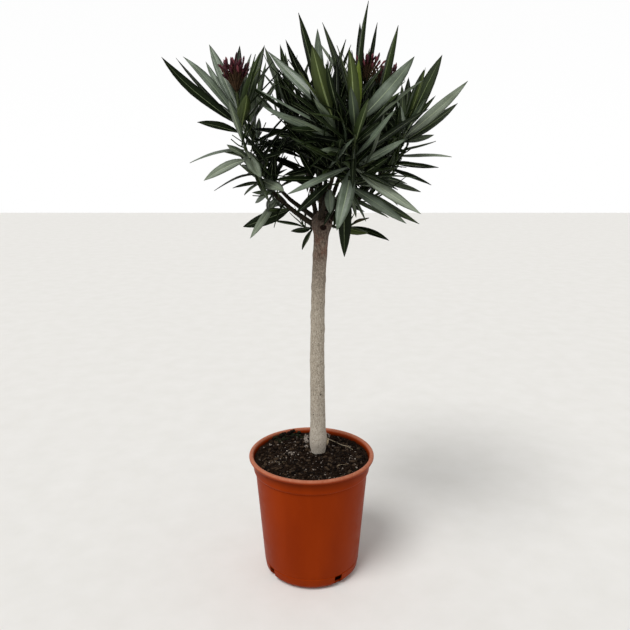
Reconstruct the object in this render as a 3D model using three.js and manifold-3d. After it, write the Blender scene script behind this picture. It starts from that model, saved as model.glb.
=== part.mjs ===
// A potted oleander grown as a standard: one bare stem in a round nursery pot, with a crown of
// slender shoots above it, each with whorls of three long leaves, and four with flower buds.
// Millimetres, +Z up. The origin is the centre of the pot's flat underside, +X is the plant's
// right-hand side and +Y its back.
import * as THREE from "three";
import { mergeVertices } from "three/addons/utils/BufferGeometryUtils.js";
import Module from "manifold-3d";

const wasm = await Module();
wasm.setup();

// ---------------------------------------------------------------- driving dimensions
const GAP = 0.3; // left between two pieces that touch
const POT = {
  height: 202,
  baseRadius: 76,
  shoulderRadius: 89.8, // outside of the wall just under the step
  bandRadius: 93.2, // outside of the band between the step and the lip
  rimRadius: 100,
  wall: 1.8,
  floor: 3,
  stepZ: 174, // where the wall steps out below the rim
  step: [1.6, 2], // how far in and how far up its rounded edge goes
  lipHeight: 7.6,
  lip: [[3.4, 7.6], [0.7, 5.6], [0, 3], [1.4, 0.6], [4, 0], [6.4, 1.6]], // [in from the rim, down]
  corner: [[13.2, 0], [5.4, 2.4], [0.9, 8.4], [0, 19.2]], // the lower one: [in from the wall, up]
  sides: 36,
};
const NOTCH = { width: 14, height: 17, depth: 14, first: -56, count: 4 };
const SOIL = {
  level: 194,
  clear: 0.5, // left between the soil and the wall
  lap: 3.1, // how far its top spreads out over the step
  rings: 6,
  mound: 0.5,
  moundRadius: 34,
  backMound: 4,
  backMoundX: 45,
  backMoundY: 50,
  collar: 20, // level ground kept round the stem's foot
  sides: 24,
};
const TRUNK = {
  x: 10.8,
  y: 15,
  headZ: 585,
  lean: [[0, 0], [0.3, -1.2], [0.43, -1.8], [0.62, -0.6], [0.76, 1], [0.88, 3.6], [1, 5.6]],
  flareRadius: 14.3,
  flareAt: 0.06, // share of the height where the root flare is thickest
  flareShare: 0.035, // of the height: how long the flare is
  tuck: 1.6, // how much the stem draws in again where it enters the soil
  tuckShare: 0.015,
  footRadius: 12.6,
  midRadius: 10.7,
  slimAt: 0.6, // share of the height where the stem is thinnest
  headRadius: 16,
  headAt: 0.955, // share of the height where the head is thickest
  headShare: 0.035, // of the height: how long the swelling is
  rounding: 0.45, // how much the head draws in at its top
  sides: 12,
  rings: 20,
};
const LIMB = { sides: 6, twigSides: 4, rings: 5, taper: 2 };
const LEAF = {
  widthShare: 0.128,
  thickness: 0.013, // share of the length
  thinnest: 1.5,
  ridge: 0.33, // how deep in the thickness the blade's two ends lie
  stations: [0, 0.29, 0.69, 1], // shares of the length where the outline turns
  shares: [0.16, 0.94, 0.84, 0], // of the width, at those stations
  bow: -0.02, // of a marked leaf that gives none
  clearance: 0.7, // kept between two leaves of different masses
};
// Whorls: how far the first is from the tip, how much each gap grows, how leaves stand and bow.
const WHORL = {
  first: 5,
  step: 8,
  growth: 1.5,
  stray: 9, // degrees, either way, in bearing and lean
  youngLean: 12,
  buddedLean: 26, // the youngest lean of a shoot that carries buds
  oldLean: 82,
  leaning: 0.8, // power of the age by which leaves open
  sag: 0.22,
  youngBow: -0.03,
  oldBow: 0.09,
  fallen: 0.22, // share of the oldest leaves that have dropped
  bare: 0.04, // share of the way kept bare where the mass begins
  roll: 35,
  sizes: [0.88, 1.05],
  youngSize: 0.55,
  longAge: 0.33, // the age by which leaves have their full length
  shortAge: 0.45, // the age from which they are shorter again
  shortening: 0.7,
  youngWidth: 0.6,
  wideAge: 0.25, // the age by which leaves have their full width
  choices: [[0, 1], [16, 1], [-16, 1], [0, 0.75], [24, 0.75], [-24, 0.75]],
};
const BUD = {
  length: 14,
  radius: 2.6,
  widest: 0.45, // share of the length where a bud is thickest
  stalk: 36,
  stalkRadius: 0.9,
  pointRadius: 0.3,
  sunk: 2, // how far a stalk's foot goes into the shoot
  spread: 0.62,
  doming: 0.25, // how much shorter the outer stalks are
  sizes: [0.65, 1.12],
  view: 22, // no leaf that the rule makes ends before a cluster, this near to its middle
  sides: 3,
};
const GOLDEN_ANGLE = Math.PI * (3 - Math.sqrt(5));
// The crown keeps inside this goblet: no leaf that the rule makes ends outside it.
const CROWN = {
  x: 14,
  y: 6,
  z: 690,
  wide: 160,
  deep: 190,
  flare: 0.22, // how much it widens for each step up
  up: 165,
  down: 150,
  apart: 28, // least distance of a leaf's tip from a marked leaf's
};
// Openings that show the sky from the plant's front: no leaf that the rule makes crosses one, at
// any depth. Each is [middle x, middle z, half width, half height].
const SKY = [[-62, 713, 18, 12], [-25, 655, 11, 15], [34, 624, 14, 12], [-24, 613, 17, 11]];
const FIRST_SEED = 41;

// Each shoot is a bough that leaves the stem's head and the mass of foliage that it carries.
// way: the centre line from the head to the tip. enter: where along it the foliage begins.
// radius: at the head and at the tip. whorls, leaf, turn: how many whorls of three, the longest
// leaf, and the first whorl's bearing. marked: single leaves that give the crown its outline, each
// as [share of the way where it grows, tip x, tip y, tip z, width, roll in degrees, bow].
const SHOOTS = [
  {
    name: "left",
    way: [[6, 12, 563], [-32, 4, 591], [-74, -9, 634], [-97, -12, 690], [-103, -12, 752]],
    enter: 0.12,
    radius: [4.2, 1.8],
    whorls: 13,
    leaf: 128,
    turn: 170,
    buds: 18,
    marked: [
      [0.8, -204, -20, 797, 19, 55, -0.06],
      [0.82, -196, 40, 803, 7, 40, -0.1],
      [0.83, -180, 10, 801, 15, 40, 0.08],
      [0.86, -156, 60, 800, 12, 20],
      [0.88, -147, 40, 821, 18, 30, 0.04],
      [0.9, -104, 50, 821, 14],
      [0.9, -85, 20, 806, 10],
      [0.8, -65, 10, 816, 16, 60],
      [0.78, -83, -75, 746, 20],
      [0.76, -157, -30, 711, 16, 50, 0.05],
      [0.66, -179, 20, 655, 13, 15, 0.1],
      [0.6, -153, -20, 631, 16, 60, 0.09],
      [0.66, -68, -65, 638, 21],
      [0.47, -37, -58, 619, 21],
      [0.5, -146, 30, 614, 9, 15, 0.12],
      [0.44, -116, 10, 619, 9, 20, 0.06],
      [0.36, -84, 20, 596, 12, 30, 0.06],
      [0.27, -64, 10, 595, 12, 40],
      [0.3, -87, -40, 551, 13, 60],
      [0.19, -101, 0, 563, 21, 65, -0.04],
    ],
  },
  {
    name: "front",
    way: [[20, 8, 570], [42, -35, 612], [55, -85, 655], [57, -95, 690], [63, -96, 738]],
    enter: 0.2,
    radius: [4, 1.8],
    whorls: 11,
    leaf: 128,
    turn: 250,
    buds: 0,
    marked: [
      [0.84, 47, -130, 794, 20],
      [0.86, 129, -110, 787, 21, 90, -0.03],
      [0.9, 60, -112, 784, 12],
      [0.66, 104, -140, 723, 17, 60],
      [0.58, 123, -108, 689, 16, 40],
      [0.6, -31, -130, 619, 16, 30],
      [0.6, 33, -150, 576, 22],
      [0.6, 141, -132, 595, 20, 30],
      [0.42, 126, -108, 580, 18, 30],
      [0.42, 152, -50, 573, 14, 10],
      [0.42, 46, -80, 531, 21],
      [0.3, 59, -20, 584, 15, 20],
    ],
  },
  {
    name: "front_left",
    way: [[12, 5, 572], [27, -40, 625], [38, -70, 674], [34, -84, 700], [24, -88, 728]],
    enter: 0.24,
    radius: [3.8, 1.8],
    whorls: 11,
    leaf: 128,
    turn: 200,
    buds: 0,
    marked: [
      [0.86, 2, -128, 798, 24],
      [0.82, -70, -92, 751, 15, 10],
      [0.76, -61, -120, 728, 17, 40],
      [0.92, -58, -30, 803, 18, 20],
      [0.42, -21, -60, 589, 15, 20],
      [0.36, 27, -50, 587, 16, 20],
    ],
  },
  {
    name: "right",
    way: [[26, 12, 570], [70, 28, 602], [108, 20, 645], [132, 10, 690], [140, 10, 722]],
    enter: 0.2,
    radius: [4.2, 1.8],
    whorls: 12,
    leaf: 124,
    turn: 330,
    buds: 0,
    marked: [
      [0.84, 181, -10, 801, 22, 130],
      [0.84, 161, 20, 785, 18, 30],
      [0.86, 142, 40, 776, 15, 30],
      [0.82, 216, -20, 766, 17, 85, -0.05],
      [0.79, 208, 2, 738, 15, 65, -0.06],
      [0.86, 106, 30, 742, 13, 40],
      [0.8, 181, 30, 695, 12, 30],
      [0.72, 177, -10, 686, 12, 20],
      [0.7, 203, 0, 664, 13, 10],
      [0.64, 190, 30, 648, 13, 25],
      [0.6, 175, 0, 624, 14, 25],
      [0.5, 165, 30, 612, 13, 25],
      [0.35, 91, 20, 607, 13, 20],
    ],
  },
  {
    name: "middle",
    way: [[14, 14, 576], [14, 4, 650], [16, -2, 705], [14, -4, 742]],
    enter: 0.3,
    radius: [3.6, 1.7],
    whorls: 11,
    leaf: 122,
    turn: 100,
    buds: 0,
    marked: [
      [0.9, -16, -42, 849, 18, 0, 0.08],
      [0.93, 9, 0, 836, 16],
      [0.88, -36, 20, 825, 13, 45],
      [0.9, 49, 18, 825, 13],
      [0.46, -40, -20, 638, 13, 20],
    ],
  },
  {
    name: "centre",
    way: [[20, 18, 574], [44, 28, 640], [64, 38, 705], [76, 43, 746], [79, 45, 768]],
    enter: 0.34,
    radius: [3.8, 1.8],
    whorls: 12,
    leaf: 120,
    turn: 20,
    buds: 9,
    marked: [
      [0.72, 82, 40, 879, 15, 0, -0.1],
      [0.8, 71, 58, 853, 15, 60],
      [0.92, 96, 55, 853, 9],
      [0.74, 16, 30, 849, 14, 70],
    ],
  },
  {
    name: "right_back",
    way: [[24, 22, 574], [60, 50, 640], [85, 66, 698], [98, 76, 734], [103, 78, 755]],
    enter: 0.32,
    radius: [3.8, 1.8],
    whorls: 12,
    leaf: 120,
    turn: 75,
    buds: 9,
    marked: [
      [0.86, 124, 30, 845, 17, 30, -0.08],
    ],
  },
  {
    name: "left_back",
    way: [[8, 20, 572], [-4, 46, 640], [-16, 62, 690], [-28, 66, 728], [-32, 66, 750]],
    enter: 0.3,
    radius: [3.8, 1.8],
    whorls: 11,
    leaf: 122,
    turn: 140,
    buds: 0,
    marked: [
      [0.88, -46, 62, 824, 15],
      [0.86, -71, 98, 825, 15],
      [0.7, -90, 60, 704, 13, 60],
      [0.5, -90, 45, 692, 11, 65],
      [0.42, -92, 40, 673, 11, 65],
      [0.38, -67, 30, 667, 12, 75],
    ],
  },
  {
    name: "back",
    way: [[16, 26, 578], [22, 70, 630], [18, 104, 690], [8, 114, 742]],
    enter: 0.3,
    radius: [4, 1.8],
    whorls: 12,
    leaf: 126,
    turn: 40,
    buds: 0,
    marked: [],
  },
  {
    name: "back_left",
    way: [[8, 24, 572], [-40, 52, 606], [-74, 76, 650], [-88, 88, 700], [-86, 92, 742]],
    enter: 0.25,
    radius: [4, 1.8],
    whorls: 12,
    leaf: 124,
    turn: 167,
    buds: 0,
    marked: [],
  },
  {
    name: "back_right",
    way: [[26, 26, 572], [70, 58, 606], [102, 82, 660], [114, 90, 710], [117, 90, 756]],
    enter: 0.28,
    radius: [4, 1.8],
    whorls: 12,
    leaf: 124,
    turn: 10,
    buds: 7,
    marked: [],
  },
  {
    name: "low_left",
    way: [[10, 26, 566], [2, 42, 556], [-10, 56, 556], [-16, 66, 562]],
    enter: 0.28,
    radius: [2.8, 1.5],
    whorls: 3,
    leaf: 72,
    turn: 60,
    buds: 0,
    marked: [
      [0.4, -15, 60, 520, 15, 20],
      [0.45, -31, 20, 554, 12, 40],
    ],
  },
  {
    name: "low_right",
    way: [[24, 24, 566], [38, 36, 558], [54, 40, 558], [66, 42, 564]],
    enter: 0.28,
    radius: [2.8, 1.5],
    whorls: 3,
    leaf: 72,
    turn: 0,
    buds: 0,
    marked: [
      [0.45, 86, 10, 552, 18, 50, 0.03],
      [0.8, 118, 20, 540, 12, 85, 0.06],
      [0.9, 88, 34, 573, 13, 40, 0.05],
    ],
  },
];

const COLOURS = {
  pot: [0x9a4523, 0.42],
  soil: [0x2c2019, 0.95],
  bark: [0x9c8f80, 0.85],
  leaf: [0x33423a, 0.5],
};

// ---------------------------------------------------------------- seeded numbers
let seed = 1;

function draw(low, high) {
  seed = (seed * 1664525 + 1013904223) % 4294967296;
  return low + ((high - low) * seed) / 4294967296;
}

// ---------------------------------------------------------------- solids
// A closed geometry as a solid, with its shared corners merged and collapsed faces left out.
function solidFrom(geometry) {
  const plain = geometry.clone();
  plain.deleteAttribute("normal");
  plain.deleteAttribute("uv");
  const merged = mergeVertices(plain, 1e-3);
  const kept = [];
  for (let i = 0; i < merged.index.count; i += 3) {
    const corners = [0, 1, 2].map((k) => merged.index.getX(i + k));
    if (new Set(corners).size === 3) kept.push(...corners);
  }
  return new wasm.Manifold(
    new wasm.Mesh({
      numProp: 3,
      vertProperties: merged.attributes.position.array,
      triVerts: new Uint32Array(kept),
    }),
  );
}

// The largest body of a solid: loose scraps and sealed hollows are left behind.
function mainBody(solid) {
  return solid.decompose().reduce((best, next) => (next.volume() > best.volume() ? next : best));
}

function meshFrom(name, solid, [colour, roughness]) {
  const made = solid.getMesh();
  const geometry = new THREE.BufferGeometry();
  geometry.setAttribute("position", new THREE.BufferAttribute(made.vertProperties, 3));
  geometry.setIndex(new THREE.BufferAttribute(made.triVerts, 1));
  geometry.computeVertexNormals();
  const mesh = new THREE.Mesh(
    geometry,
    new THREE.MeshStandardMaterial({ color: colour, roughness, metalness: 0 }),
  );
  mesh.name = name;
  return mesh;
}

// Moves every corner of an upright three.js cylinder or cone to place(share of height, angle,
// share of radius), so that it becomes a limb or a blade.
function reshaped(geometry, radiusAt, place) {
  const position = geometry.attributes.position;
  for (let i = 0; i < position.count; i++) {
    const share = position.getY(i) + 0.5;
    const angle = Math.atan2(position.getX(i), position.getZ(i));
    const full = radiusAt(share);
    const out = full > 1e-6 ? Math.hypot(position.getX(i), position.getZ(i)) / full : 0;
    const spot = place(share, angle, out);
    position.setXYZ(i, spot.x, spot.y, spot.z);
  }
  return geometry;
}

// ---------------------------------------------------------------- limbs
const vector = ([x, y, z]) => new THREE.Vector3(x, y, z);
const BACKWARD = new THREE.Vector3(0, 1, 0);
const DOWN = new THREE.Vector3(0, 0, -1);

const curveOf = (points) => new THREE.CatmullRomCurve3(points.map(vector), false, "catmullrom", 0.5);

// The directions across a limb at a point of its centre line: to the plant's right and back.
function across(tangent) {
  const right = BACKWARD.clone().cross(tangent).normalize();
  return { right, back: tangent.clone().cross(right) };
}

// A round limb along a stretch of a curve. radiusAt takes the share of the stretch and the angle.
function limb(curve, from, to, radiusAt, sides, rings) {
  const place = (share, angle, out) => {
    const at = from + (to - from) * share;
    const { right, back } = across(curve.getTangentAt(at));
    const radius = radiusAt(share, angle) * out;
    return curve
      .getPointAt(at)
      .addScaledVector(right, Math.sin(angle) * radius)
      .addScaledVector(back, -Math.cos(angle) * radius);
  };
  const blank = new THREE.CylinderGeometry(1, 1, 1, sides, rings);
  return solidFrom(reshaped(blank, () => 1, place));
}

// ---------------------------------------------------------------- leaves
// A leaf: its root, its tip, its width, the side it faces and how far its middle bows to there.
// It faces along the shoot, and is then rolled about its own length towards the plant's front.
function leafFrom(curve, share, tip, width, bow, roll) {
  const root = curve.getPointAt(share);
  const axis = curve.getTangentAt(share);
  const along = tip.clone().sub(root);
  const length = along.length();
  along.normalize();
  const up = axis.addScaledVector(along, -axis.dot(along)).normalize();
  const bend = root.clone().add(tip).multiplyScalar(0.5).addScaledVector(up, bow * length);
  const way = along.clone().cross(up).dot(BACKWARD) > 0 ? -1 : 1;
  const face = up.clone().applyAxisAngle(along, way * THREE.MathUtils.degToRad(roll));
  return { root, bend, tip, along, face, width, length };
}

// The place on a leaf's bowed centre line at a share of its length.
const spotOn = ({ root, bend, tip }, t) =>
  root
    .clone()
    .multiplyScalar((1 - t) * (1 - t))
    .addScaledVector(bend, 2 * t * (1 - t))
    .addScaledVector(tip, t * t);

// The blade: flat above and keeled below, with three corners all along a bowed centre line.
// A margin makes it larger all round, for finding out what it would touch, and first leaves out
// the stations before that one.
function blade(leaf, margin = 0, first = 0) {
  const side = leaf.along.clone().cross(leaf.face);
  const thick = Math.max(leaf.length * LEAF.thickness, LEAF.thinnest);
  const rings = LEAF.stations.length - 1 - first;
  const place = (share, angle, out) => {
    const station = first + Math.round(share * rings);
    const t = LEAF.stations[station];
    const spot = spotOn(leaf, t);
    if (out < 0.5) return spot.addScaledVector(leaf.face, -thick * LEAF.ridge);
    const corner = Math.round((angle / Math.PI) * 1.5);
    if (corner === 0) return spot.addScaledVector(leaf.face, -thick - margin);
    const half = (leaf.width * LEAF.shares[station]) / 2 + margin;
    return spot.addScaledVector(side, corner > 0 ? -half : half).addScaledVector(leaf.face, margin);
  };
  return solidFrom(reshaped(new THREE.ConeGeometry(1, 1, 3, rings), (share) => 1 - share, place));
}

// The leaves that the rule grows on a shoot, from the tip down: whorls of three, each turned
// half a leaf from the last, wider apart, more spread and more arched the older they are. Each
// leaf is a list of choices, the first that is clear being taken.
function whorledLeaves(shoot, curve) {
  const leaves = [];
  const length = curve.getLength();
  let down = WHORL.first;
  for (let i = 0; i < shoot.whorls; i++) {
    const age = i / (shoot.whorls - 1);
    const share = 1 - down / length;
    down += WHORL.step + WHORL.growth * i;
    for (let k = 0; k < 3; k++) {
      const bearing = shoot.turn + 60 * i + 120 * k + draw(-WHORL.stray, WHORL.stray);
      const young = shoot.buds ? WHORL.buddedLean : WHORL.youngLean;
      const spread = young + (WHORL.oldLean - young) * age ** WHORL.leaning;
      const lean = spread + draw(-WHORL.stray, WHORL.stray);
      const size = shoot.leaf * sizeAt(age) * draw(...WHORL.sizes);
      const width = LEAF.widthShare * widthAt(age);
      const roll = draw(-WHORL.roll, WHORL.roll);
      const kept = draw(0, 1) > WHORL.fallen * age;
      if (!kept || share < shoot.enter + WHORL.bare) continue;
      const choices = WHORL.choices.map(([aside, shorter]) => {
        const heading = headingAt(curve, share, bearing + aside, lean, WHORL.sag * age);
        const tip = curve.getPointAt(share).addScaledVector(heading, size * shorter);
        const bow = WHORL.youngBow + (WHORL.oldBow - WHORL.youngBow) * age;
        return leafFrom(curve, share, tip, size * width, bow, roll);
      });
      leaves.push(choices);
    }
  }
  return leaves;
}

// The direction that leans away from a shoot by so many degrees on a bearing, and then sags.
function headingAt(curve, share, bearing, lean, sag) {
  const axis = curve.getTangentAt(share);
  const { right, back } = across(axis);
  const turn = THREE.MathUtils.degToRad(bearing);
  const tilt = THREE.MathUtils.degToRad(lean);
  return axis
    .multiplyScalar(Math.cos(tilt))
    .addScaledVector(right, Math.cos(turn) * Math.sin(tilt))
    .addScaledVector(back, Math.sin(turn) * Math.sin(tilt))
    .addScaledVector(DOWN, sag)
    .normalize();
}

// Leaves grow longer and broader with age, and the oldest are short again.
const grownFrom = (young, age, fullAge) => young + (1 - young) * Math.min(1, age / fullAge);

const widthAt = (age) => grownFrom(WHORL.youngWidth, age, WHORL.wideAge);

const sizeAt = (age) =>
  grownFrom(WHORL.youngSize, age, WHORL.longAge) -
  WHORL.shortening * Math.max(0, age - WHORL.shortAge);

// The leaves that mark the crown's outline, read from the shoot's own list.
const markedLeaves = (shoot, curve) =>
  shoot.marked.map(([share, x, y, z, width, roll = 0, bow = LEAF.bow]) =>
    leafFrom(curve, share, new THREE.Vector3(x, y, z), width, bow, roll),
  );

// ---------------------------------------------------------------- flower buds
// A bud is a spindle on a thin stalk; a cluster fans them out round the shoot's tip.
function budCluster(shoot, curve) {
  const top = curve.getPointAt(1);
  const axis = curve.getTangentAt(1);
  const { right, back } = across(axis);
  const solids = [];
  for (let i = 0; i < shoot.buds; i++) {
    const bearing = i * GOLDEN_ANGLE;
    const spread = BUD.spread * Math.sqrt((i + 0.5) / shoot.buds);
    const reach = BUD.stalk * (1 - BUD.doming * spread) * draw(...BUD.sizes);
    const heading = axis
      .clone()
      .multiplyScalar(Math.cos(spread))
      .addScaledVector(right, Math.cos(bearing) * Math.sin(spread))
      .addScaledVector(back, Math.sin(bearing) * Math.sin(spread));
    solids.push(spindle(top, heading, reach));
  }
  return solids;
}

// One stalk and its bud in a single turned shape, from inside the shoot's tip to the bud's point.
function spindle(from, heading, stalk) {
  const { right, back } = across(heading);
  const heights = [-BUD.sunk, stalk, stalk + BUD.length * BUD.widest, stalk + BUD.length];
  const radii = [BUD.stalkRadius, BUD.stalkRadius, BUD.radius, BUD.pointRadius];
  const place = (share, angle, out) => {
    const ring = Math.round(share * (heights.length - 1));
    return from
      .clone()
      .addScaledVector(heading, heights[ring])
      .addScaledVector(right, Math.sin(angle) * radii[ring] * out)
      .addScaledVector(back, -Math.cos(angle) * radii[ring] * out);
  };
  const blank = new THREE.CylinderGeometry(1, 1, 1, BUD.sides, heights.length - 1);
  return solidFrom(reshaped(blank, () => 1, place));
}

// ---------------------------------------------------------------- pot and soil
const polar = (radius, degrees) => {
  const turn = THREE.MathUtils.degToRad(degrees);
  return [Math.cos(turn) * radius, Math.sin(turn) * radius];
};

// A profile of [radius, height] points turned about the pot's axis.
function turned(profile, sides) {
  const points = profile.map(([r, z]) => new THREE.Vector2(r, z));
  return new THREE.LatheGeometry(points, sides).rotateX(Math.PI / 2);
}

// The wall's outer radius at a height between the rounded corner and the step below the rim.
const wallRadius = (z) =>
  POT.baseRadius + ((POT.shoulderRadius - POT.baseRadius) * z) / POT.stepZ;

// Drained from below through four notches in its lower corner, and filled by the soil.
function pot() {
  const { height, rimRadius, wall, floor, stepZ, step, lipHeight, bandRadius } = POT;
  const lipZ = height - lipHeight;
  const corner = POT.corner.map(([inward, z]) => [wallRadius(z) - inward, z]);
  const lip = POT.lip.map(([inward, down]) => [rimRadius - inward, height - down]);
  const outer = [
    [0, 0],
    ...corner,
    [wallRadius(stepZ), stepZ],
    [bandRadius - step[0], stepZ + step[1]],
    [bandRadius, lipZ],
    ...lip,
  ];
  const inner = [
    [bandRadius - wall, lipZ - wall],
    [wallRadius(stepZ) - wall, stepZ],
    ...corner.slice(1).reverse().map(([radius, z]) => [radius - wall, z + floor]),
    [corner[0][0], floor],
    [0, floor],
  ];
  let solid = solidFrom(turned([...outer, ...inner], POT.sides));
  for (let i = 0; i < NOTCH.count; i++) {
    const degrees = NOTCH.first + (i * 360) / NOTCH.count;
    const [x, y] = polar(POT.baseRadius, degrees);
    const cut = new THREE.BoxGeometry(NOTCH.depth, NOTCH.width, NOTCH.height * 2)
      .rotateZ(THREE.MathUtils.degToRad(degrees))
      .translate(x, y, 0);
    solid = solid.subtract(solidFrom(cut));
  }
  return solid;
}

// The soil's height: a mound round the stem, a lower one by the rim at the back left.
function soilHeight(x, y) {
  const stem = Math.max(Math.hypot(x - TRUNK.x, y - TRUNK.y) - TRUNK.flareRadius, 0);
  const back = Math.hypot(x + SOIL.backMoundX, y - SOIL.backMoundY);
  const mounded = (height, distance) => height * Math.exp(-((distance / SOIL.moundRadius) ** 2));
  const aside = Math.min(1, stem / SOIL.collar);
  return SOIL.level + mounded(SOIL.mound, stem) + mounded(SOIL.backMound, back) * aside;
}

function soil() {
  const inside = (z) => wallRadius(z) - POT.wall - SOIL.clear;
  const foot = POT.floor + GAP;
  const [inset, cornerZ] = [POT.corner[0][0], POT.corner.at(-1)[1]];
  const edge = [
    [0, foot],
    [inside(0) - inset, foot],
    [inside(cornerZ), cornerZ + foot],
    [inside(POT.stepZ), POT.stepZ],
  ];
  const rim = inside(POT.stepZ) + SOIL.lap;
  const topRing = (_, i) => [rim * (1 - i / SOIL.rings), SOIL.level];
  const top = Array.from({ length: SOIL.rings + 1 }, topRing);
  const geometry = turned([...edge, ...top], SOIL.sides);
  const position = geometry.attributes.position;
  for (let i = 0; i < position.count; i++) {
    if (position.getZ(i) < POT.stepZ + 1) continue;
    position.setZ(i, soilHeight(position.getX(i), position.getY(i)));
  }
  return solidFrom(geometry);
}

// ---------------------------------------------------------------- the bare stem
// The stem leans a little one way and then the other; lean lists how far, by share of its height.
function trunk(sleeve = 0) {
  const footZ = SOIL.level + SOIL.mound + GAP;
  const rise = TRUNK.headZ - footZ;
  const curve = curveOf(
    TRUNK.lean.map(([share, aside]) => [TRUNK.x + aside, TRUNK.y, footZ + rise * share]),
  );
  const { flareRadius, footRadius, midRadius, headRadius, headAt } = TRUNK;
  const radiusAt = (share) => {
    const offFlare = (share - TRUNK.flareAt) / TRUNK.flareShare;
    const tucked = TRUNK.tuck * Math.exp(-share / TRUNK.tuckShare);
    const flare = (flareRadius - footRadius) * Math.exp(-(offFlare ** 2)) - tucked;
    const shaft = midRadius + (footRadius - midRadius) * Math.max(0, 1 - share / TRUNK.slimAt);
    const offHead = (share - headAt) / TRUNK.headShare;
    const swelling = (headRadius - midRadius) * Math.exp(-(offHead ** 2));
    const topped = Math.max(0, (share - headAt) / (1 - headAt));
    return (shaft + swelling) * (1 - TRUNK.rounding * topped ** 2) + flare + sleeve;
  };
  return limb(curve, 0, 1, radiusAt, TRUNK.sides, TRUNK.rings);
}

// ---------------------------------------------------------------- boughs
// A bough and the stem of the mass that it carries lie on one centre line, a gap apart, and taper
// as one limb from a thick foot.
function limbsOf(shoot) {
  const curve = curveOf(shoot.way);
  const [wide, thin] = shoot.radius;
  const { enter } = shoot;
  const end = enter - GAP / curve.getLength();
  const radiusAt = (share) => thin + (wide - thin) * (1 - share) ** LIMB.taper;
  const boughRadius = (share) => radiusAt(share * enter);
  const shankRadius = (share) => radiusAt(enter + share * (1 - enter));
  const sleeveRadius = (share) => boughRadius(share) + GAP;
  return {
    shoot,
    curve,
    bough: limb(curve, 0, end, boughRadius, LIMB.sides, LIMB.rings),
    sleeve: limb(curve, 0, end, sleeveRadius, LIMB.sides, LIMB.rings),
    shank: limb(curve, enter, 1, shankRadius, LIMB.twigSides, LIMB.rings),
  };
}

// ---------------------------------------------------------------- putting it together
const plant = new THREE.Group();
plant.name = "potted_oleander";
plant.add(meshFrom("pot", pot(), COLOURS.pot));
plant.add(meshFrom("soil", soil(), COLOURS.soil));
const stem = trunk();
plant.add(meshFrom("trunk", stem, COLOURS.bark));

// Whatever has been placed, with its owner. A leaf may touch nothing of another owner, and the
// leaves of its own mass only near their roots.
const placed = [];

function place(owner, solid, outer = null) {
  placed.push({ owner, solid: boxed(solid), outer: outer && boxed(outer) });
}

function boxed(solid) {
  const { min, max } = solid.boundingBox();
  return { solid, box: new THREE.Box3(vector(min), vector(max)) };
}

const touches = (one, other) =>
  one.box.intersectsBox(other.box) && !one.solid.intersect(other.solid).isEmpty();

function isClear(owner, solid, outer = null) {
  const whole = boxed(solid);
  const end = outer && boxed(outer);
  return placed.every((other) => {
    if (other.owner !== owner) return !touches(whole, other.solid);
    return !end || !other.outer || !touches(end, other.outer);
  });
}

// Boughs are cut clear of the stem and of the boughs before them.
place("trunk", stem);
const cutters = [trunk(GAP), trunk(GAP).translate([0, 0, GAP])];
const grown = SHOOTS.map(limbsOf);
for (const { shoot, bough, sleeve, shank } of grown) {
  const cut = cutters.reduce((left, cutter) => mainBody(left.subtract(cutter)), bough);
  cutters.push(sleeve);
  plant.add(meshFrom("bough_" + shoot.name, cut, COLOURS.bark));
  place("bough_" + shoot.name, cut);
  place(shoot.name, shank);
}

// Buds, then the leaves that mark the outline, then the whorls, each kept clear of the rest.
const masses = grown.map(({ shoot, curve, shank }, i) => {
  seed = FIRST_SEED + i;
  const buds = budCluster(shoot, curve).filter((bud) => isClear(shoot.name, bud));
  buds.forEach((bud) => place(shoot.name, bud));
  return { shoot, curve, solids: [shank, ...buds], marked: markedLeaves(shoot, curve) };
});

// Adds a leaf to a mass if it is clear of everything, and says whether it was.
function growLeaf(mass, leaf) {
  const name = mass.shoot.name;
  const outer = blade(leaf, 0, 1);
  if (!isClear(name, blade(leaf, LEAF.clearance), outer)) return false;
  const solid = blade(leaf);
  place(name, solid, outer);
  mass.solids.push(solid);
  return true;
}

// The share of the way from the crown's middle to its skin: past 1 is outside.
function crownShare({ x, y, z }) {
  const rise = z - CROWN.z;
  const flare = CROWN.flare * Math.max(0, rise);
  const out = Math.hypot((x - CROWN.x) / (CROWN.wide + flare), (y - CROWN.y) / (CROWN.deep + flare));
  return Math.hypot(out, rise / (rise > 0 ? CROWN.up : CROWN.down));
}

// Whether a leaf would end before a cluster of buds, seen from the plant's front.
const clusters = grown.filter(({ shoot }) => shoot.buds).map(({ curve }) => curve.getPointAt(1));
const hidesBuds = ({ x, y, z }) =>
  clusters.some((top) => Math.abs(x - top.x) < BUD.view && y < top.y && z > top.z);

// Whether a leaf would cross an opening.
const crossesSky = (leaf) =>
  [0.2, 0.35, 0.5, 0.65, 0.8, 1].some((t) => {
    const { x, z } = spotOn(leaf, t);
    return SKY.some(([midX, midZ, halfWide, halfHigh]) =>
      Math.abs(x - midX) < halfWide && Math.abs(z - midZ) < halfHigh);
  });

const markedTips = masses.flatMap(({ marked }) => marked.map(({ tip }) => tip));

masses.forEach((mass) => mass.marked.forEach((leaf) => growLeaf(mass, leaf)));
masses.forEach((mass, i) => {
  seed = FIRST_SEED * 2 + i;
  const fits = (leaf) =>
    crownShare(leaf.tip) < 1 &&
    !hidesBuds(leaf.tip) &&
    !crossesSky(leaf) &&
    markedTips.every((tip) => tip.distanceTo(leaf.tip) > CROWN.apart);
  for (const choices of whorledLeaves(mass.shoot, mass.curve)) {
    choices.some((leaf) => fits(leaf) && growLeaf(mass, leaf));
  }
});
for (const { shoot, solids } of masses) {
  const joined = mainBody(wasm.Manifold.union(solids));
  plant.add(meshFrom("foliage_" + shoot.name, joined, COLOURS.leaf));
}

export default plant;
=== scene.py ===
import math
from collections import namedtuple
from functools import cached_property
from types import SimpleNamespace as Sizes

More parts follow.
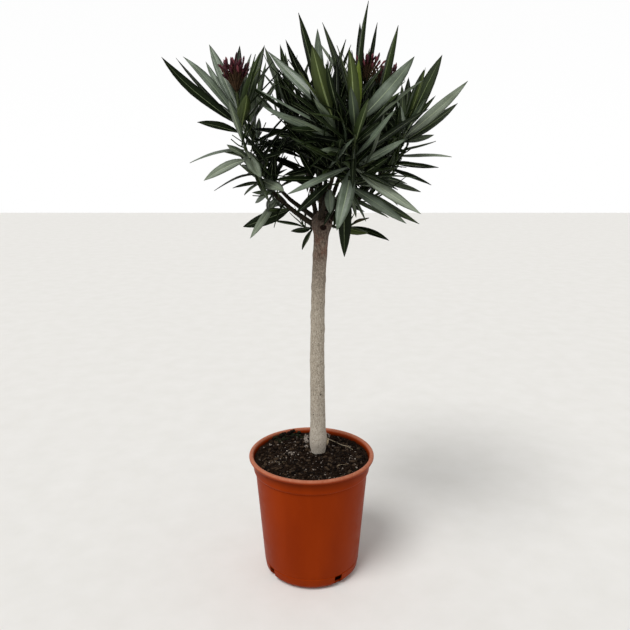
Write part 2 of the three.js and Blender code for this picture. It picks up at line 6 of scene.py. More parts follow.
import bmesh
import bpy
import numpy as np
from mathutils import Matrix, Vector, noise


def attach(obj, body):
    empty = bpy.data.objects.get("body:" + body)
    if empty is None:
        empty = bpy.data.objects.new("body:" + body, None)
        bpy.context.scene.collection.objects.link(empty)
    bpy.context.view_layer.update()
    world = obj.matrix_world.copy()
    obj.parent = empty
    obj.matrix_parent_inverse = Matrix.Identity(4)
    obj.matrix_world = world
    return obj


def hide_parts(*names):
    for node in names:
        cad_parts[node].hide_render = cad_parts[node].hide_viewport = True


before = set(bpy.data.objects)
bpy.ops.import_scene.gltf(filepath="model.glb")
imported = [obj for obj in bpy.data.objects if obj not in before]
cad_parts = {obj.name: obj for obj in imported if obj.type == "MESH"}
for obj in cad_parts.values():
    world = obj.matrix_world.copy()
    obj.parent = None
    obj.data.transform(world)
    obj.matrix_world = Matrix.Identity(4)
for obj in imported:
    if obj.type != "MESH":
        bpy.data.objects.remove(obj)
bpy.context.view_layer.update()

MM = 0.001

# ------------------------------------------------------------------ the plant's own sizes
POT = Sizes(
    height=202, base=76, shoulder=89.8, band=93.2, rim=100, wall=1.8, floor=3,
    step_z=174, lip_height=7.6, steps=128, groove_z=20,
    lip=((3.4, 7.6), (1.3, 6.6), (0.3, 4.9), (0, 3.2), (0.5, 1.5), (1.9, 0.3), (3.6, 0), (5.2, 0.4),
         (6.4, 1.7)),
    corner=((13.2, 0), (5.4, 2.4), (0.9, 8.4), (0, 19.2)),
    notch=Sizes(width=14, height=20, depth=14, first=-56, count=4), sharp=35,
)
SOIL = Sizes(level=194, mound=0.5, mound_radius=34, back_mound=4, back=(-45, 50),
             collar=20, clear=0.5, lap=3.3, rings=60, steps=180)
TRUNK = Sizes(
    x=10.8, y=15, head_z=585, foot_z=194.8,
    lean=((0, 0), (0.3, -1.2), (0.43, -1.8), (0.62, -0.6), (0.76, 1), (0.88, 3.6), (1, 5.6)),
    flare=14.3, flare_at=0.06, flare_share=0.035, tuck=1.6, tuck_share=0.015,
    foot=12.6, middle=10.7, slim_at=0.6,
    head=16, head_at=0.955, head_share=0.035, rounding=0.45,
)
LEAF = Sizes(width_share=0.128, thickness=0.013, thinnest=1.5, ridge=0.33, bow=-0.02, finer=0.8,
             near=0.8, ageing=1.6)
WHORL = Sizes(
    first=5, step=8, growth=1.5, stray=9, young_lean=12, budded_lean=26, old_lean=82,
    leaning=0.8, sag=0.22, young_bow=-0.03, old_bow=0.09, fallen=0.22, bare=0.04, roll=35,
    sizes=(0.88, 1.05), young_size=0.55, long_age=0.33, short_age=0.45, shortening=0.7,
    young_width=0.6, wide_age=0.25,
    choices=((0, 1), (16, 1), (-16, 1), (0, 0.75), (24, 0.75), (-24, 0.75)),
)
BUD = Sizes(length=14, radius=2.6, stalk=36, stalk_radius=0.9, sunk=2, spread=0.62,
            doming=0.25, sizes=(0.65, 1.14), finer=4, sides=8, wander=0.34, twist=0.16,
            lengths=(0.65, 1.0), radii=(0.48, 0.72), shares=(0, 0.1, 0.3, 0.5, 0.68, 0.82, 0.93, 1),
            girths=(0.45, 0.72, 0.8, 0.98, 1, 0.72, 0.42, 0.1))
CROWN = Sizes(x=14, y=6, z=690, wide=160, deep=190, flare=0.22, up=165, down=150)
# Openings that show the sky from the front: (middle x, middle z, half width, half height).
SKY = ((-118, 688, 19, 10), (-62, 713, 18, 12), (-25, 655, 11, 15), (34, 624, 14, 12),
       (-24, 613, 17, 11))
LIMB_TAPER = 2
# Short twigs inside the crown, finer than the frame's, on shoots that are long enough.
TWIG = Sizes(each=11, shortest_shoot=150, low=0.06, high=0.76, length=(20, 42), radius=(1.1, 0.7),
             lean=(38, 72), lift=0.18, whorls=3, first=0.97, apart=0.36, leaf=(44, 72),
             width_share=0.155, spread=(28, 74), stray=9, turn_stray=15, sag=0.18, bow=(-0.02, 0.08),
             roll=22, age=0.5, reach=0.86)
GOLDEN_ANGLE = math.pi * (3 - math.sqrt(5))
FIRST_SEED = 41

# The camera, 1 m in front of the pot and looking down on it, and its picture's side in pixels.
CAMERA = Sizes(x=5.6, distance=1000, height=681, tilt=14.158, lens=38.616, sensor=36, picture=630)


def seen(from_left, from_top, back):
    """The place, to a millimetre, that is seen at a point of the picture and lies so far back."""
    half, tilt = CAMERA.picture / 2, math.radians(CAMERA.tilt)
    pixel = CAMERA.sensor / CAMERA.lens / CAMERA.picture
    right, up = (from_left - half) * pixel, (half - from_top) * pixel
    reach = (CAMERA.distance + back) / (math.cos(tilt) + up * math.sin(tilt))
    rise = reach * (up * math.cos(tilt) - math.sin(tilt))
    return round(CAMERA.x + reach * right), back, round(CAMERA.height + rise)


# A shoot is a bough that leaves the stem's head and the foliage that it carries from the share
# enter of its way onward. A marked leaf is (share, tip, width, roll, bow): it gives the crown its
# outline, and most tips are written as the picture's points and how far back they lie.
Shoot = namedtuple("Shoot", "name enter radius whorls leaf turn way buds marked", defaults=(0, ()))

SHOOTS = (
    Shoot("left", enter=0.12, radius=(4.2, 1.8), whorls=13, leaf=128, turn=170, buds=18,
          way=((6, 12, 563), (-32, 4, 591), (-74, -9, 634), (-97, -12, 690), (-103, -12, 752)),
          marked=(
              (0.8, seen(161, 57, -20), 19, 55, -0.06), (0.82, seen(175.8, 57.5, 40), 7, 40, -0.1),
              (0.83, seen(182.8, 56.7, 10), 15, 40, 0.08), (0.86, seen(205.5, 61.7, 60), 12, 20),
              (0.88, seen(209, 44, 40), 18, 30, 0.04), (0.9, seen(240, 45, 50), 14),
              (0.9, seen(251, 53.5, 20), 10), (0.8, seen(264.5, 45, 10), 16, 60),
              (0.78, seen(247, 93, -75), 20), (0.76, seen(197.5, 122, -30), 16, 50, 0.05),
              (0.66, seen(190, 163, 20), 13, 15, 0.1), (0.6, seen(204, 181, -20), 16, 60, 0.09),
              (0.66, seen(261, 177, -65), 21), (0.47, seen(284, 191, -58), 21),
              (0.5, seen(214.2, 190.3, 30), 9, 15, 0.12), (0.44, seen(232.5, 188.3, 10), 9, 20, 0.06),
              (0.36, seen(254.7, 203, 20), 12, 30, 0.06), (0.27, seen(268, 204.7, 10), 12, 40),
              (0.3, seen(249.7, 238.3, -40), 13, 60), (0.19, seen(243, 227, 0), 21, 65, -0.04),
          )),
    Shoot("front", enter=0.2, radius=(4, 1.8), whorls=11, leaf=128, turn=250,
          way=((20, 8, 570), (42, -35, 612), (55, -85, 655), (57, -95, 690), (63, -96, 738)),
          marked=(
              (0.84, seen(349, 48, -130), 20), (0.86, seen(414.7, 56.3, -110), 21, 90, -0.03),
              (0.9, seen(359, 59, -112), 12), (0.66, seen(396, 109, -140), 17, 60),
              (0.58, seen(407, 138, -108), 16, 40), (0.6, seen(286, 195, -130), 16, 30),
              (0.6, seen(337, 231, -150), 22), (0.6, seen(421, 214, -132), 20, 30),
              (0.42, seen(406.3, 223.7, -108), 18, 30), (0.42, seen(419.2, 223.7, -50), 14, 10),
              (0.42, seen(344.7, 257, -80), 21), (0.3, (59, -20, 584), 15, 20),
          )),
    Shoot("front_left", enter=0.24, radius=(3.8, 1.8), whorls=11, leaf=128, turn=200,
          way=((12, 5, 572), (27, -40, 625), (38, -70, 674), (34, -84, 700), (24, -88, 728)),
          marked=(
              (0.86, seen(312, 45, -128), 24), (0.82, seen(255.5, 88, -92), 15, 10),
              (0.76, seen(261.5, 106, -120), 17, 40), (0.92, seen(268, 51, -30), 18, 20),
              (0.42, (-21, -60, 589), 15, 20), (0.36, (27, -50, 587), 16, 20),
          )),
    Shoot("right", enter=0.2, radius=(4.2, 1.8), whorls=12, leaf=124, turn=330,
          way=((26, 12, 570), (70, 28, 602), (108, 20, 645), (132, 10, 690), (140, 10, 722)),
          marked=(
              (0.84, seen(442.5, 55, -10), 22, 130), (0.84, seen(424.2, 69.2, 20), 18, 30),
              (0.86, (142, 40, 776), 15, 30), (0.82, seen(468, 81, -20), 17, 85, -0.05),
              (0.79, seen(457.5, 103, 2), 15, 65, -0.06), (0.86, seen(384, 101, 30), 13, 40),
              (0.8, seen(434, 135, 30), 12, 30), (0.72, seen(435.5, 141, -10), 12, 20),
              (0.7, seen(451.7, 156.7, 0), 13, 10), (0.64, seen(439, 167.5, 30), 13, 25),
              (0.6, seen(431.2, 185, 0), 14, 25), (0.5, seen(420.8, 192.2, 30), 13, 25),
              (0.35, (91, 20, 607), 13, 20),
          )),
    Shoot("middle", enter=0.3, radius=(3.6, 1.7), whorls=11, leaf=122, turn=100,
          way=((14, 14, 576), (14, 4, 650), (16, -2, 705), (14, -4, 742)),
          marked=(
              (0.9, seen(298.3, 12.5, -42), 18, 0, 0.08), (0.93, seen(317.5, 28.5, 0), 16),
              (0.88, seen(285.3, 39.5, 20), 13, 45), (0.9, seen(346, 39, 18), 13),
              (0.46, (-40, -20, 638), 13, 20),
          )),
    Shoot("centre", enter=0.34, radius=(3.8, 1.8), whorls=12, leaf=120, turn=20, buds=9,
          way=((20, 18, 574), (44, 28, 640), (64, 38, 705), (76, 43, 746), (79, 45, 768)),
          marked=(
              (0.72, seen(368.7, 0.5, 40), 15, 0, -0.1), (0.8, seen(360, 22.5, 58), 15, 60),
              (0.92, seen(377.5, 22.5, 55), 9), (0.74, seen(322.5, 22.5, 30), 14, 70),
          )),
    Shoot("right_back", enter=0.32, radius=(3.8, 1.8), whorls=12, leaf=120, turn=75, buds=9,
          way=((24, 22, 574), (60, 50, 640), (85, 66, 698), (98, 76, 734), (103, 78, 755)),
          marked=(
              (0.86, seen(398.3, 25.3, 30), 17, 30, -0.08),
          )),
    Shoot("left_back", enter=0.3, radius=(3.8, 1.8), whorls=11, leaf=122, turn=140,
          way=((8, 20, 572), (-4, 46, 640), (-16, 62, 690), (-28, 66, 728), (-32, 66, 750)),
          marked=(
              (0.88, seen(280, 44.5, 62), 15), (0.86, seen(264.5, 47, 98), 15),
              (0.7, seen(252, 129, 60), 13, 60), (0.5, (-90, 45, 692), 11, 65),
              (0.42, (-92, 40, 673), 11, 65), (0.38, (-67, 30, 667), 12, 75),
          )),
    Shoot("back", enter=0.3, radius=(4, 1.8), whorls=12, leaf=126, turn=40,
          way=((16, 26, 578), (22, 70, 630), (18, 104, 690), (8, 114, 742))),
    Shoot("back_left", enter=0.25, radius=(4, 1.8), whorls=12, leaf=124, turn=167,
          way=((8, 24, 572), (-40, 52, 606), (-74, 76, 650), (-88, 88, 700), (-86, 92, 742))),
    Shoot("back_right", enter=0.28, radius=(4, 1.8), whorls=12, leaf=124, turn=10, buds=7,
          way=((26, 26, 572), (70, 58, 606), (102, 82, 660), (114, 90, 710), (117, 90, 756))),
    Shoot("low_left", enter=0.28, radius=(2.8, 1.5), whorls=3, leaf=72, turn=60,
          way=((10, 26, 566), (2, 42, 556), (-10, 56, 556), (-16, 66, 562)),
          marked=(
              (0.4, seen(302, 249.5, 60), 15, 20), (0.45, seen(290.8, 231.3, 20), 12, 40),
          )),
    Shoot("low_right", enter=0.28, radius=(2.8, 1.5), whorls=3, leaf=72, turn=0,
          way=((24, 24, 566), (38, 36, 558), (54, 40, 558), (66, 42, 564)),
          marked=(
              (0.45, seen(369, 233.5, 10), 18, 50, 0.03), (0.8, seen(389.2, 240.3, 20), 12, 85, 0.06),
              (0.9, seen(369, 218, 34), 13, 40, 0.05),
          )),
)

# The looks of marked leaves, by shoot, as places in its list.
MARKED_LOOKS = {
    "left": dict(deep=(0, 9), grey=(2, 3, 4, 10), pale=(11, 12, 13, 18), olive=(8,)),
    "front": dict(olive=(0,), grey=(1, 3, 4, 5, 6, 8), lime=(2,), pale=(7,), green=(9,)),
    "front_left": dict(olive=(0,), grey=(1, 2, 3)),
    "right": dict(green=(0, 1, 4, 7), deep=(2, 5, 9, 10), pale=(3, 8), dull=(6, 11)),
    "middle": dict(grey=(1,)),
    "right_back": dict(green=(0,)),
    "low_right": dict(olive=(0,), dry=(2,)),
}
# Marked leaves that are folded along the midrib: the share of their width that is left.
FOLDED = {
    "front": {3: 0.6, 4: 0.7, 5: 0.6, 7: 0.8, 8: 0.8},
    "front_left": {1: 0.5, 2: 0.75},
}

# ------------------------------------------------------------------ seeded numbers


class Draws:
    """Numbers drawn in a fixed order from a seed."""

    def __init__(self, seed):
        self.seed = seed

    def __call__(self, low, high):
        self.seed = (self.seed * 1664525 + 1013904223) % 4294967296
        return low + (high - low) * self.seed / 4294967296


# ------------------------------------------------------------------ centre lines
BACKWARD = np.array((0.0, 1.0, 0.0))
DOWN = np.array((0.0, 0.0, -1.0))


def unit(vector):
    return vector / np.linalg.norm(vector)


def across(tangent):
    """The directions across a limb, to the plant's right and back."""
    right = unit(np.cross(BACKWARD, tangent))
    return right, np.cross(tangent, right)


def outward(tangent, angle):
    """The direction across a limb at an angle from the plant's right towards its back."""
    right, back = across(tangent)
    return right * math.cos(angle) + back * math.sin(angle)


def turned_about(vector, axis, angle):
    """A vector turned about a unit axis by an angle in radians."""
    return (vector * math.cos(angle) + np.cross(axis, vector) * math.sin(angle)
            + axis * np.dot(axis, vector) * (1 - math.cos(angle)))


class Line:
    """A smooth curve through points, walked by share of its length."""

    def __init__(self, points):
        ends = np.array(points, float)
        before, after = 2 * ends[0] - ends[1], 2 * ends[-1] - ends[-2]
        self.points = np.vstack([before, ends, after])
        self.stretches = len(ends) - 1
        self.shares = np.linspace(0, 1, 201)
        spots = np.array([self.spot(share) for share in self.shares])
        steps = np.linalg.norm(np.diff(spots, axis=0), axis=1)
        self.lengths = np.concatenate([[0], np.cumsum(steps)])
        self.length = self.lengths[-1]

    def spot(self, t):
        walked = min(max(t, 0), 1) * self.stretches
        i = min(int(walked), self.stretches - 1)
        w = walked - i
        a, b, c, d = self.points[i:i + 4]
        start, end = (c - a) / 2, (d - b) / 2
        return (b + start * w + (3 * (c - b) - 2 * start - end) * w ** 2
                + (2 * (b - c) + start + end) * w ** 3)

    def along(self, share):
        return np.interp(share * self.length, self.lengths, self.shares)

    def at(self, share):
        return self.spot(self.along(share))

    def heading(self, share):
        t = self.along(share)
        return unit(self.spot(min(t + 1e-4, 1)) - self.spot(max(t - 1e-4, 0)))

    @cached_property
    def walked(self):
        return np.array([self.at(share) for share in self.shares])

    def share_of(self, spot):
        """The share of the length that is nearest to a spot."""
        return self.shares[np.argmin(np.linalg.norm(self.walked - spot, axis=1))]


# ------------------------------------------------------------------ the rule that leaves grow by
Leaf = namedtuple("Leaf", "root bend tip along face width length age look")


def leaf_from(line, share, tip, width, bow, roll, age, look=None):
    """A leaf from a share of a line to its tip, bowed by a share of its length and rolled."""
    root, axis = line.at(share), line.heading(share)
    length = np.linalg.norm(tip - root)
    along = (tip - root) / length
    up = unit(axis - along * np.dot(axis, along))
    bend = (root + tip) / 2 + up * bow * length
    way = -1 if np.dot(np.cross(along, up), BACKWARD) > 0 else 1
    face = turned_about(up, along, way * math.radians(roll))
    return Leaf(root, bend, tip, along, face, width, length, age, look)


def heading_at(line, share, bearing, lean, sag):
    """A leaf's heading: its bearing round the line and its lean from it, in degrees."""
    axis, tilt = line.heading(share), math.radians(lean)
    sideways = outward(axis, math.radians(bearing))
    return unit(axis * math.cos(tilt) + sideways * math.sin(tilt) + DOWN * sag)


def grown_from(young, age, full_age):
    """A share that grows from a young leaf's to 1 at its full age."""
    return young + (1 - young) * min(1, age / full_age)


def size_at(age):
    """The share of a shoot's longest leaf that leaves of this age have."""
    shorter = WHORL.shortening * max(0, age - WHORL.short_age)
    return grown_from(WHORL.young_size, age, WHORL.long_age) - shorter


def whorled_leaves(shoot, line, draw):
    """Whorls of three from the tip down, wider apart, more spread and more arched with age."""
    leaves = []
    down = WHORL.first
    stray = WHORL.stray
    for i in range(shoot.whorls):
        age = i / (shoot.whorls - 1)
        share = 1 - down / line.length
        down += WHORL.step + WHORL.growth * i
        young = WHORL.budded_lean if shoot.buds else WHORL.young_lean
        spread = young + (WHORL.old_lean - young) * age ** WHORL.leaning
        width = LEAF.width_share * grown_from(WHORL.young_width, age, WHORL.wide_age)
        width *= LEAF.finer
        bow = WHORL.young_bow + (WHORL.old_bow - WHORL.young_bow) * age
        for k in range(3):
            bearing = shoot.turn + 60 * i + 120 * k + draw(-stray, stray)
            lean = spread + draw(-stray, stray)
            size = shoot.leaf * size_at(age) * draw(*WHORL.sizes)
            roll = draw(-WHORL.roll, WHORL.roll)
            kept = draw(0, 1) > WHORL.fallen * age
            if not kept or share < shoot.enter + WHORL.bare:
                continue
            choices = []
            for aside, shorter in WHORL.choices:
                heading = heading_at(line, share, bearing + aside, lean, WHORL.sag * age)
                tip = line.at(share) + heading * size * shorter
                choices.append(leaf_from(line, share, tip, size * width, bow, roll, age))
            leaves.append(choices)
    return leaves


def marked_leaves(shoot, line):
    """The leaves in the shoot's own list, each with its look and its fold."""
    looks = {i: look for look, places in MARKED_LOOKS.get(shoot.name, {}).items() for i in places}
    folded = FOLDED.get(shoot.name, {})
    leaves = []
    for i, (share, tip, width, *rest) in enumerate(shoot.marked):
        roll, bow = (rest + [0, LEAF.bow][len(rest):])[:2]
        age = min(1, max(0, (1 - share) * LEAF.ageing))
        leaves.append(leaf_from(line, share, np.array(tip, float), width * folded.get(i, 1), bow,
                                roll, age, looks.get(i)))
    return leaves


def stands(leaf, corners):
    """Whether the frame's mass has this leaf: one of its corners is the leaf's point."""
    thick = max(leaf.length * LEAF.thickness, LEAF.thinnest)
    point = leaf.tip - leaf.face * thick * LEAF.ridge
    return np.min(np.linalg.norm(corners - point, axis=1)) < LEAF.near


def crown_share(spot):
    """The share of the way from the crown's middle to its skin: past 1 is outside."""
    rise = spot[2] - CROWN.z
    flare = CROWN.flare * max(0, rise)
    out = math.hypot((spot[0] - CROWN.x) / (CROWN.wide + flare),
                     (spot[1] - CROWN.y) / (CROWN.deep + flare))
    return math.hypot(out, rise / (CROWN.up if rise > 0 else CROWN.down))


def leaves_of(shoot, line, index):
    """The shoot's leaves: those that the frame has."""
    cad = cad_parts["foliage_" + shoot.name]
    corners = np.array([vertex.co for vertex in cad.data.vertices]) / MM
    leaves = [leaf for leaf in marked_leaves(shoot, line) if stands(leaf, corners)]
    for choices in whorled_leaves(shoot, line, Draws(FIRST_SEED * 2 + index)):
        leaves += [leaf for leaf in choices if stands(leaf, corners)][:1]
    return leaves


# ------------------------------------------------------------------ colours and materials
def colour(code):
    """A linear colour from its sRGB code."""
    parts = [int(code[i:i + 2], 16) / 255 for i in (1, 3, 5)]
    return [p / 12.92 if p <= 0.04045 else ((p + 0.055) / 1.055) ** 2.4 for p in parts] + [1]


def per_mm(size):
    """The pattern scale whose features are about so many millimetres across."""
    return 1 / (size * MM)


class Nodes:
    """The nodes of a material or a world: most methods add one and give its output."""

    def __init__(self, tree):
        self.tree = tree

    def wire(self, node, sockets):
        """Sets a node's inputs to values, colour codes or other nodes' outputs."""
        for name, value in sockets.items():
            if isinstance(value, bpy.types.NodeSocket):
                self.tree.links.new(value, node.inputs[name])
            else:
                node.inputs[name].default_value = colour(value) if isinstance(value, str) else value

    def add(self, kind, sockets=None, **settings):
        made = self.tree.nodes.new("ShaderNode" + kind)
        for name, value in settings.items():
            setattr(made, name, value)
        self.wire(made, sockets or {})
        return made

    def place(self, stretch=(1, 1, 1)):
        """Object coordinates, stretched."""
        spot = self.add("TexCoord").outputs["Object"]
        return self.add("Mapping", {"Vector": spot, "Scale": stretch}).outputs["Vector"]

    def surface(self):
        """A blade's or a tube's own coordinates."""
        return self.add("UVMap", uv_map="blade").outputs["UV"]

    def part(self, vector, axis):
        return self.add("SeparateXYZ", {"Vector": vector}).outputs[axis]

    def radius(self):
        """How far a place is from the part's upright axis."""
        return self.add("VectorMath", {0: self.place((1, 1, 0))}, operation="LENGTH").outputs["Value"]

    def mottling(self, size, detail=3, roughness=0.55, stretch=(1, 1, 1)):
        return self.add("TexNoise", {
            "Vector": self.place(stretch), "Scale": per_mm(size), "Detail": detail,
            "Roughness": roughness}).outputs["Fac"]

    def dots(self, size, stretch):
        """How far each place is from the nearest of many scattered dots."""
        return self.add("TexVoronoi", {
            "Vector": self.place(stretch), "Scale": per_mm(size),
            "Randomness": 1.0}).outputs["Distance"]

    def waves(self, scale, distortion, direction):
        return self.add("TexWave", {
            "Vector": self.surface(), "Scale": scale, "Distortion": distortion},
            bands_direction=direction).outputs["Fac"]

    def math(self, operation, *values):
        return self.add("Math", dict(enumerate(values)), operation=operation).outputs["Value"]

    def fade(self, value, start, end, most=1.0):
        """Nothing at one number of millimetres, growing to its most at another."""
        return self.add("MapRange", {
            "Value": value, "From Min": start * MM, "From Max": end * MM,
            "To Max": most}).outputs["Result"]

    def ramp(self, factor, *stops):
        made = self.add("ValToRGB", {"Fac": factor})
        band = made.color_ramp
        while len(band.elements) < len(stops):
            band.elements.new(0.5)
        for element, (position, code) in zip(band.elements, stops):
            element.position = position
            element.color = colour(code) if isinstance(code, str) else (code, code, code, 1)
        return made.outputs["Color"]

    def blend(self, factor, under, over):
        return self.add("Mix", {0: factor, 6: under, 7: over}, data_type="RGBA").outputs[2]

    def bump(self, height, depth, strength, under=None):
        """A bump so many millimetres deep, over another or alone."""
        sockets = {"Height": height, "Distance": depth * MM, "Strength": strength}
        if under is not None:
            sockets["Normal"] = under
        return self.add("Bump", sockets).outputs["Normal"]


class Skin(Nodes):
    """A material with one shader, and the values that are the same all over set on it."""

    def __init__(self, name, **values):
        self.material = bpy.data.materials.new(name)
        self.material.use_nodes = True
        super().__init__(self.material.node_tree)
        self.tree.nodes.clear()
        self.shader = self.add("BsdfPrincipled", values)
        self.add("OutputMaterial", {"Surface": self.shader.outputs["BSDF"]})

    def done(self, tone, roughness=None, normal=None):
        """The material, once its shader has its colour, roughness and bumps."""
        sockets = {"Base Color": tone, "Roughness": roughness, "Normal": normal}
        self.wire(self.shader, {name: value for name, value in sockets.items() if value is not None})
        return self.material


def leaf_blade(name, base, shade, rough, shine):
    """Waxy leaf blade: the eye gets a soft grey sheen over mottled green with fine side veins,
    and painted shade that darkens it towards the stalk."""
    skin = Skin(name, **{"IOR": 1.45, "Specular IOR Level": shine})
    patches = skin.mottling(22, 4)
    tone = skin.blend(skin.ramp(patches, (0.35, 0.0), (0.7, 1.0)), base, shade)
    tone = skin.blend(0.22, tone, skin.ramp(skin.mottling(1.6, 2), (0.3, base), (0.75, shade)))
    veins = skin.waves(26.0, 1.2, "Y")
    tone = skin.blend(skin.ramp(veins, (0.35, 0.0), (0.95, 0.3)), tone, "#0A1204")
    # Painted shade: the blade darkens towards its stalk, where the crown shades it.
    stalk = skin.ramp(skin.part(skin.surface(), "Y"), (0.0, 0.62), (0.5, 0.0))
    tone = skin.blend(stalk, tone, "#070C04")
    gloss = skin.ramp(patches, (0.3, rough - 0.07), (0.8, rough + 0.09))
    return skin.done(tone, gloss, skin.bump(patches, 0.5, 0.5, skin.bump(veins, 0.12, 0.5)))


def leaf_rib(name, base):
    """Pale midrib: the eye gets one light line down the leaf."""
    skin = Skin(name, Roughness=0.5)
    return skin.done(skin.ramp(skin.mottling(3, 2), (0.2, base), (1.0, "#8C9A70")))


LEAF_LOOKS = {
    # look: (blade, its shade, underside, midrib, roughness, shine)
    # shade: a near-black copy of the blade, painted shade for leaves deep inside the crown.
    "shade": ("#030702", "#080E03", "#0E1507", "#161E0C", 0.42, 0.05),
    "deep": ("#081103", "#151F08", "#222C18", "#2C371A", 0.38, 0.12),
    "green": ("#162206", "#2B3914", "#364422", "#4E5D2A", 0.38, 0.4),
    "dull": ("#333D2A", "#525C47", "#465240", "#68745A", 0.36, 0.4),
    # grey: a lighter grey-green copy of the blade, partly the leaf's grey-green and partly painted
    # sheen where leaves catch the sky.
    "grey": ("#525E4C", "#7C8878", "#68745F", "#8C9880", 0.33, 0.4),
    "olive": ("#2A360A", "#3C4814", "#48542A", "#74823E", 0.38, 0.4),
    "lime": ("#4E6208", "#607414", "#6A7A28", "#8E9C3A", 0.42, 0.4),
    "pale": ("#6C7662", "#8A9482", "#848E7C", "#A0A98E", 0.42, 0.4),
    "dry": ("#2A2414", "#3C341E", "#3E3824", "#4E462E", 0.7, 0.4),
}


def leaf_materials():
    """Three for each look, in order: the blade above, the midrib and the blade below."""
    made = []
    for look, (base, shade, under, rib, rough, shine) in LEAF_LOOKS.items():
        made += [
            leaf_blade("waxy_leaf_" + look, base, shade, rough, shine),
            leaf_rib("leaf_midrib_" + look, rib),
            leaf_blade("leaf_underside_" + look, under, under, rough + 0.12, shine / 2),
        ]
    return made


def pot_plastic():
    """Injection-moulded terracotta-brown plastic: the eye gets a satin skin, faint flow marks,
    a paler lip that is partly scuffed and partly painted highlight, a little dust, and painted shade
    on the inner wall and under the lip."""
    skin = Skin("moulded_terracotta_plastic", **{"IOR": 1.45, "Specular IOR Level": 0.05})
    top, band = POT.height, POT.band
    height = skin.part(skin.place(), "Z")
    flow = skin.mottling(45, 3, stretch=(1, 1, 0.25))
    tone = skin.ramp(flow, (0.3, "#7E2700"), (0.7, "#8A2E01"))
    # Partly painted highlight: the lip's top is made paler where it catches the light, mottled like
    # scuffs.
    scuffs_and_lip_highlight = skin.ramp(skin.mottling(5, 5, 0.7), (0.3, 0.5), (0.7, 1.0))
    scuffs_and_lip_highlight = skin.math("MULTIPLY", skin.fade(height, top - 4.5, top - 1.2), scuffs_and_lip_highlight)
    tone = skin.blend(scuffs_and_lip_highlight, tone, "#B4745A")
    dust = skin.ramp(skin.mottling(9, 6, 0.7), (0.62, 0.0), (0.9, 0.14))
    tone = skin.blend(dust, tone, "#A0583A")
    # Painted shade: dark brown on the inner wall near the rim and on the band under the lip.
    inside = skin.math("MULTIPLY", skin.fade(skin.radius(), band - 0.3, band - 1.3, 0.75),
                       skin.math("GREATER_THAN", height, (top - 13) * MM))
    under_lip_shade = skin.math(
        "MULTIPLY", skin.fade(height, POT.step_z + 6, top - POT.lip_height - 1, 0.45),
        skin.fade(height, top - 4, top - 7))
    tone = skin.blend(skin.math("MAXIMUM", inside, under_lip_shade), tone, "#3E1000")
    gloss = skin.ramp(skin.mottling(14, 4), (0.3, 0.34), (0.8, 0.5))
    grain = skin.bump(skin.mottling(0.9, 2), 0.05, 0.5)
    return skin.done(tone, gloss, skin.bump(flow, 0.6, 0.4, grain))


def compost():
    """Damp peat and bark compost: the eye gets near-black ground with brown fibres."""
    skin = Skin("damp_peat_compost", **{"Roughness": 0.92, "Specular IOR Level": 0.06})
    lumps = skin.mottling(4, 8, 0.7)
    fibres = skin.mottling(1.4, 6, 0.75, (1, 3, 1))
    tone = skin.ramp(lumps, (0.38, "#0A0401"), (0.56, "#22160D"), (0.76, "#463427"))
    tone = skin.blend(skin.ramp(fibres, (0.59, 0.0), (0.7, 0.85)), tone, "#8C7F76")
    return skin.done(tone, None, skin.bump(lumps, 3.0, 0.9, skin.bump(fibres, 1.0, 0.8)))


def crumb(name, low, high):
    """Bark crumbs: the eye gets loose pieces that catch the light."""
    skin = Skin(name, **{"Roughness": 0.85, "Specular IOR Level": 0.08})
    grain = skin.mottling(1.2, 5, 0.7)
    return skin.done(skin.ramp(grain, (0.3, low), (0.75, high)), None, skin.bump(grain, 0.6, 0.8))


def stem_bark():
    """Young oleander bark: the eye gets grey-beige skin, finely speckled with pale and dark
    lenticels, which turns reddish brown towards the head."""
    skin = Skin("smooth_grey_bark", IOR=1.4)
    lengthwise = (1, 1, 0.45)
    height = skin.part(skin.place(), "Z")
    streaks = skin.mottling(2.2, 4, 0.6, lengthwise)
    low = skin.ramp(streaks, (0.3, "#7C7365"), (0.5, "#998F80"), (0.72, "#B8AE9F"))
    high = skin.ramp(streaks, (0.3, "#35281E"), (0.5, "#5C4A3E"), (0.72, "#827062"))
    climb = skin.math("MULTIPLY", skin.fade(height, 430, 575), skin.mottling(26, 5, 0.6))
    browned = skin.ramp(climb, (0.0, 0.0), (0.42, 1.0))
    low = skin.blend(skin.fade(height, 300, 200, 0.3), low, "#DCD4C8")
    tone = skin.blend(browned, low, high)
    blush = skin.ramp(skin.mottling(9, 4, stretch=lengthwise), (0.52, 0.0), (0.72, 0.6))
    tone = skin.blend(skin.math("MULTIPLY", blush, browned), tone, "#7C4A38")
    pores = skin.dots(2.6, (1, 1, 0.8))
    tone = skin.blend(skin.ramp(pores, (0.12, 0.8), (0.28, 0.0)), tone, "#4E4438")
    specks = skin.ramp(skin.dots(2.1, (1.1, 1.1, 1)), (0.14, 0.6), (0.3, 0.0))
    tone = skin.blend(specks, tone, skin.blend(browned, "#D8D0C4", "#9A8A7C"))
    # Painted shade: the head darkens towards the top, where the crown shades it.
    tone = skin.blend(skin.fade(height, 535, 568, 0.62), tone, "#1C120C")
    gloss = skin.ramp(streaks, (0.3, 0.88), (0.8, 0.7))
    return skin.done(tone, gloss, skin.bump(pores, 0.5, 0.5, skin.bump(streaks, 0.8, 0.7)))


def shoot_bark(name, low, high):
    """Thin bark of the boughs and shoots: the eye gets dull brown to green with fine grain."""
    skin = Skin(name, **{"Roughness": 0.75, "Specular IOR Level": 0.12})
    grain = skin.mottling(3.5, 5, 0.65)
    return skin.done(skin.ramp(grain, (0.3, low), (0.72, high)), None, skin.bump(grain, 0.5, 0.7))


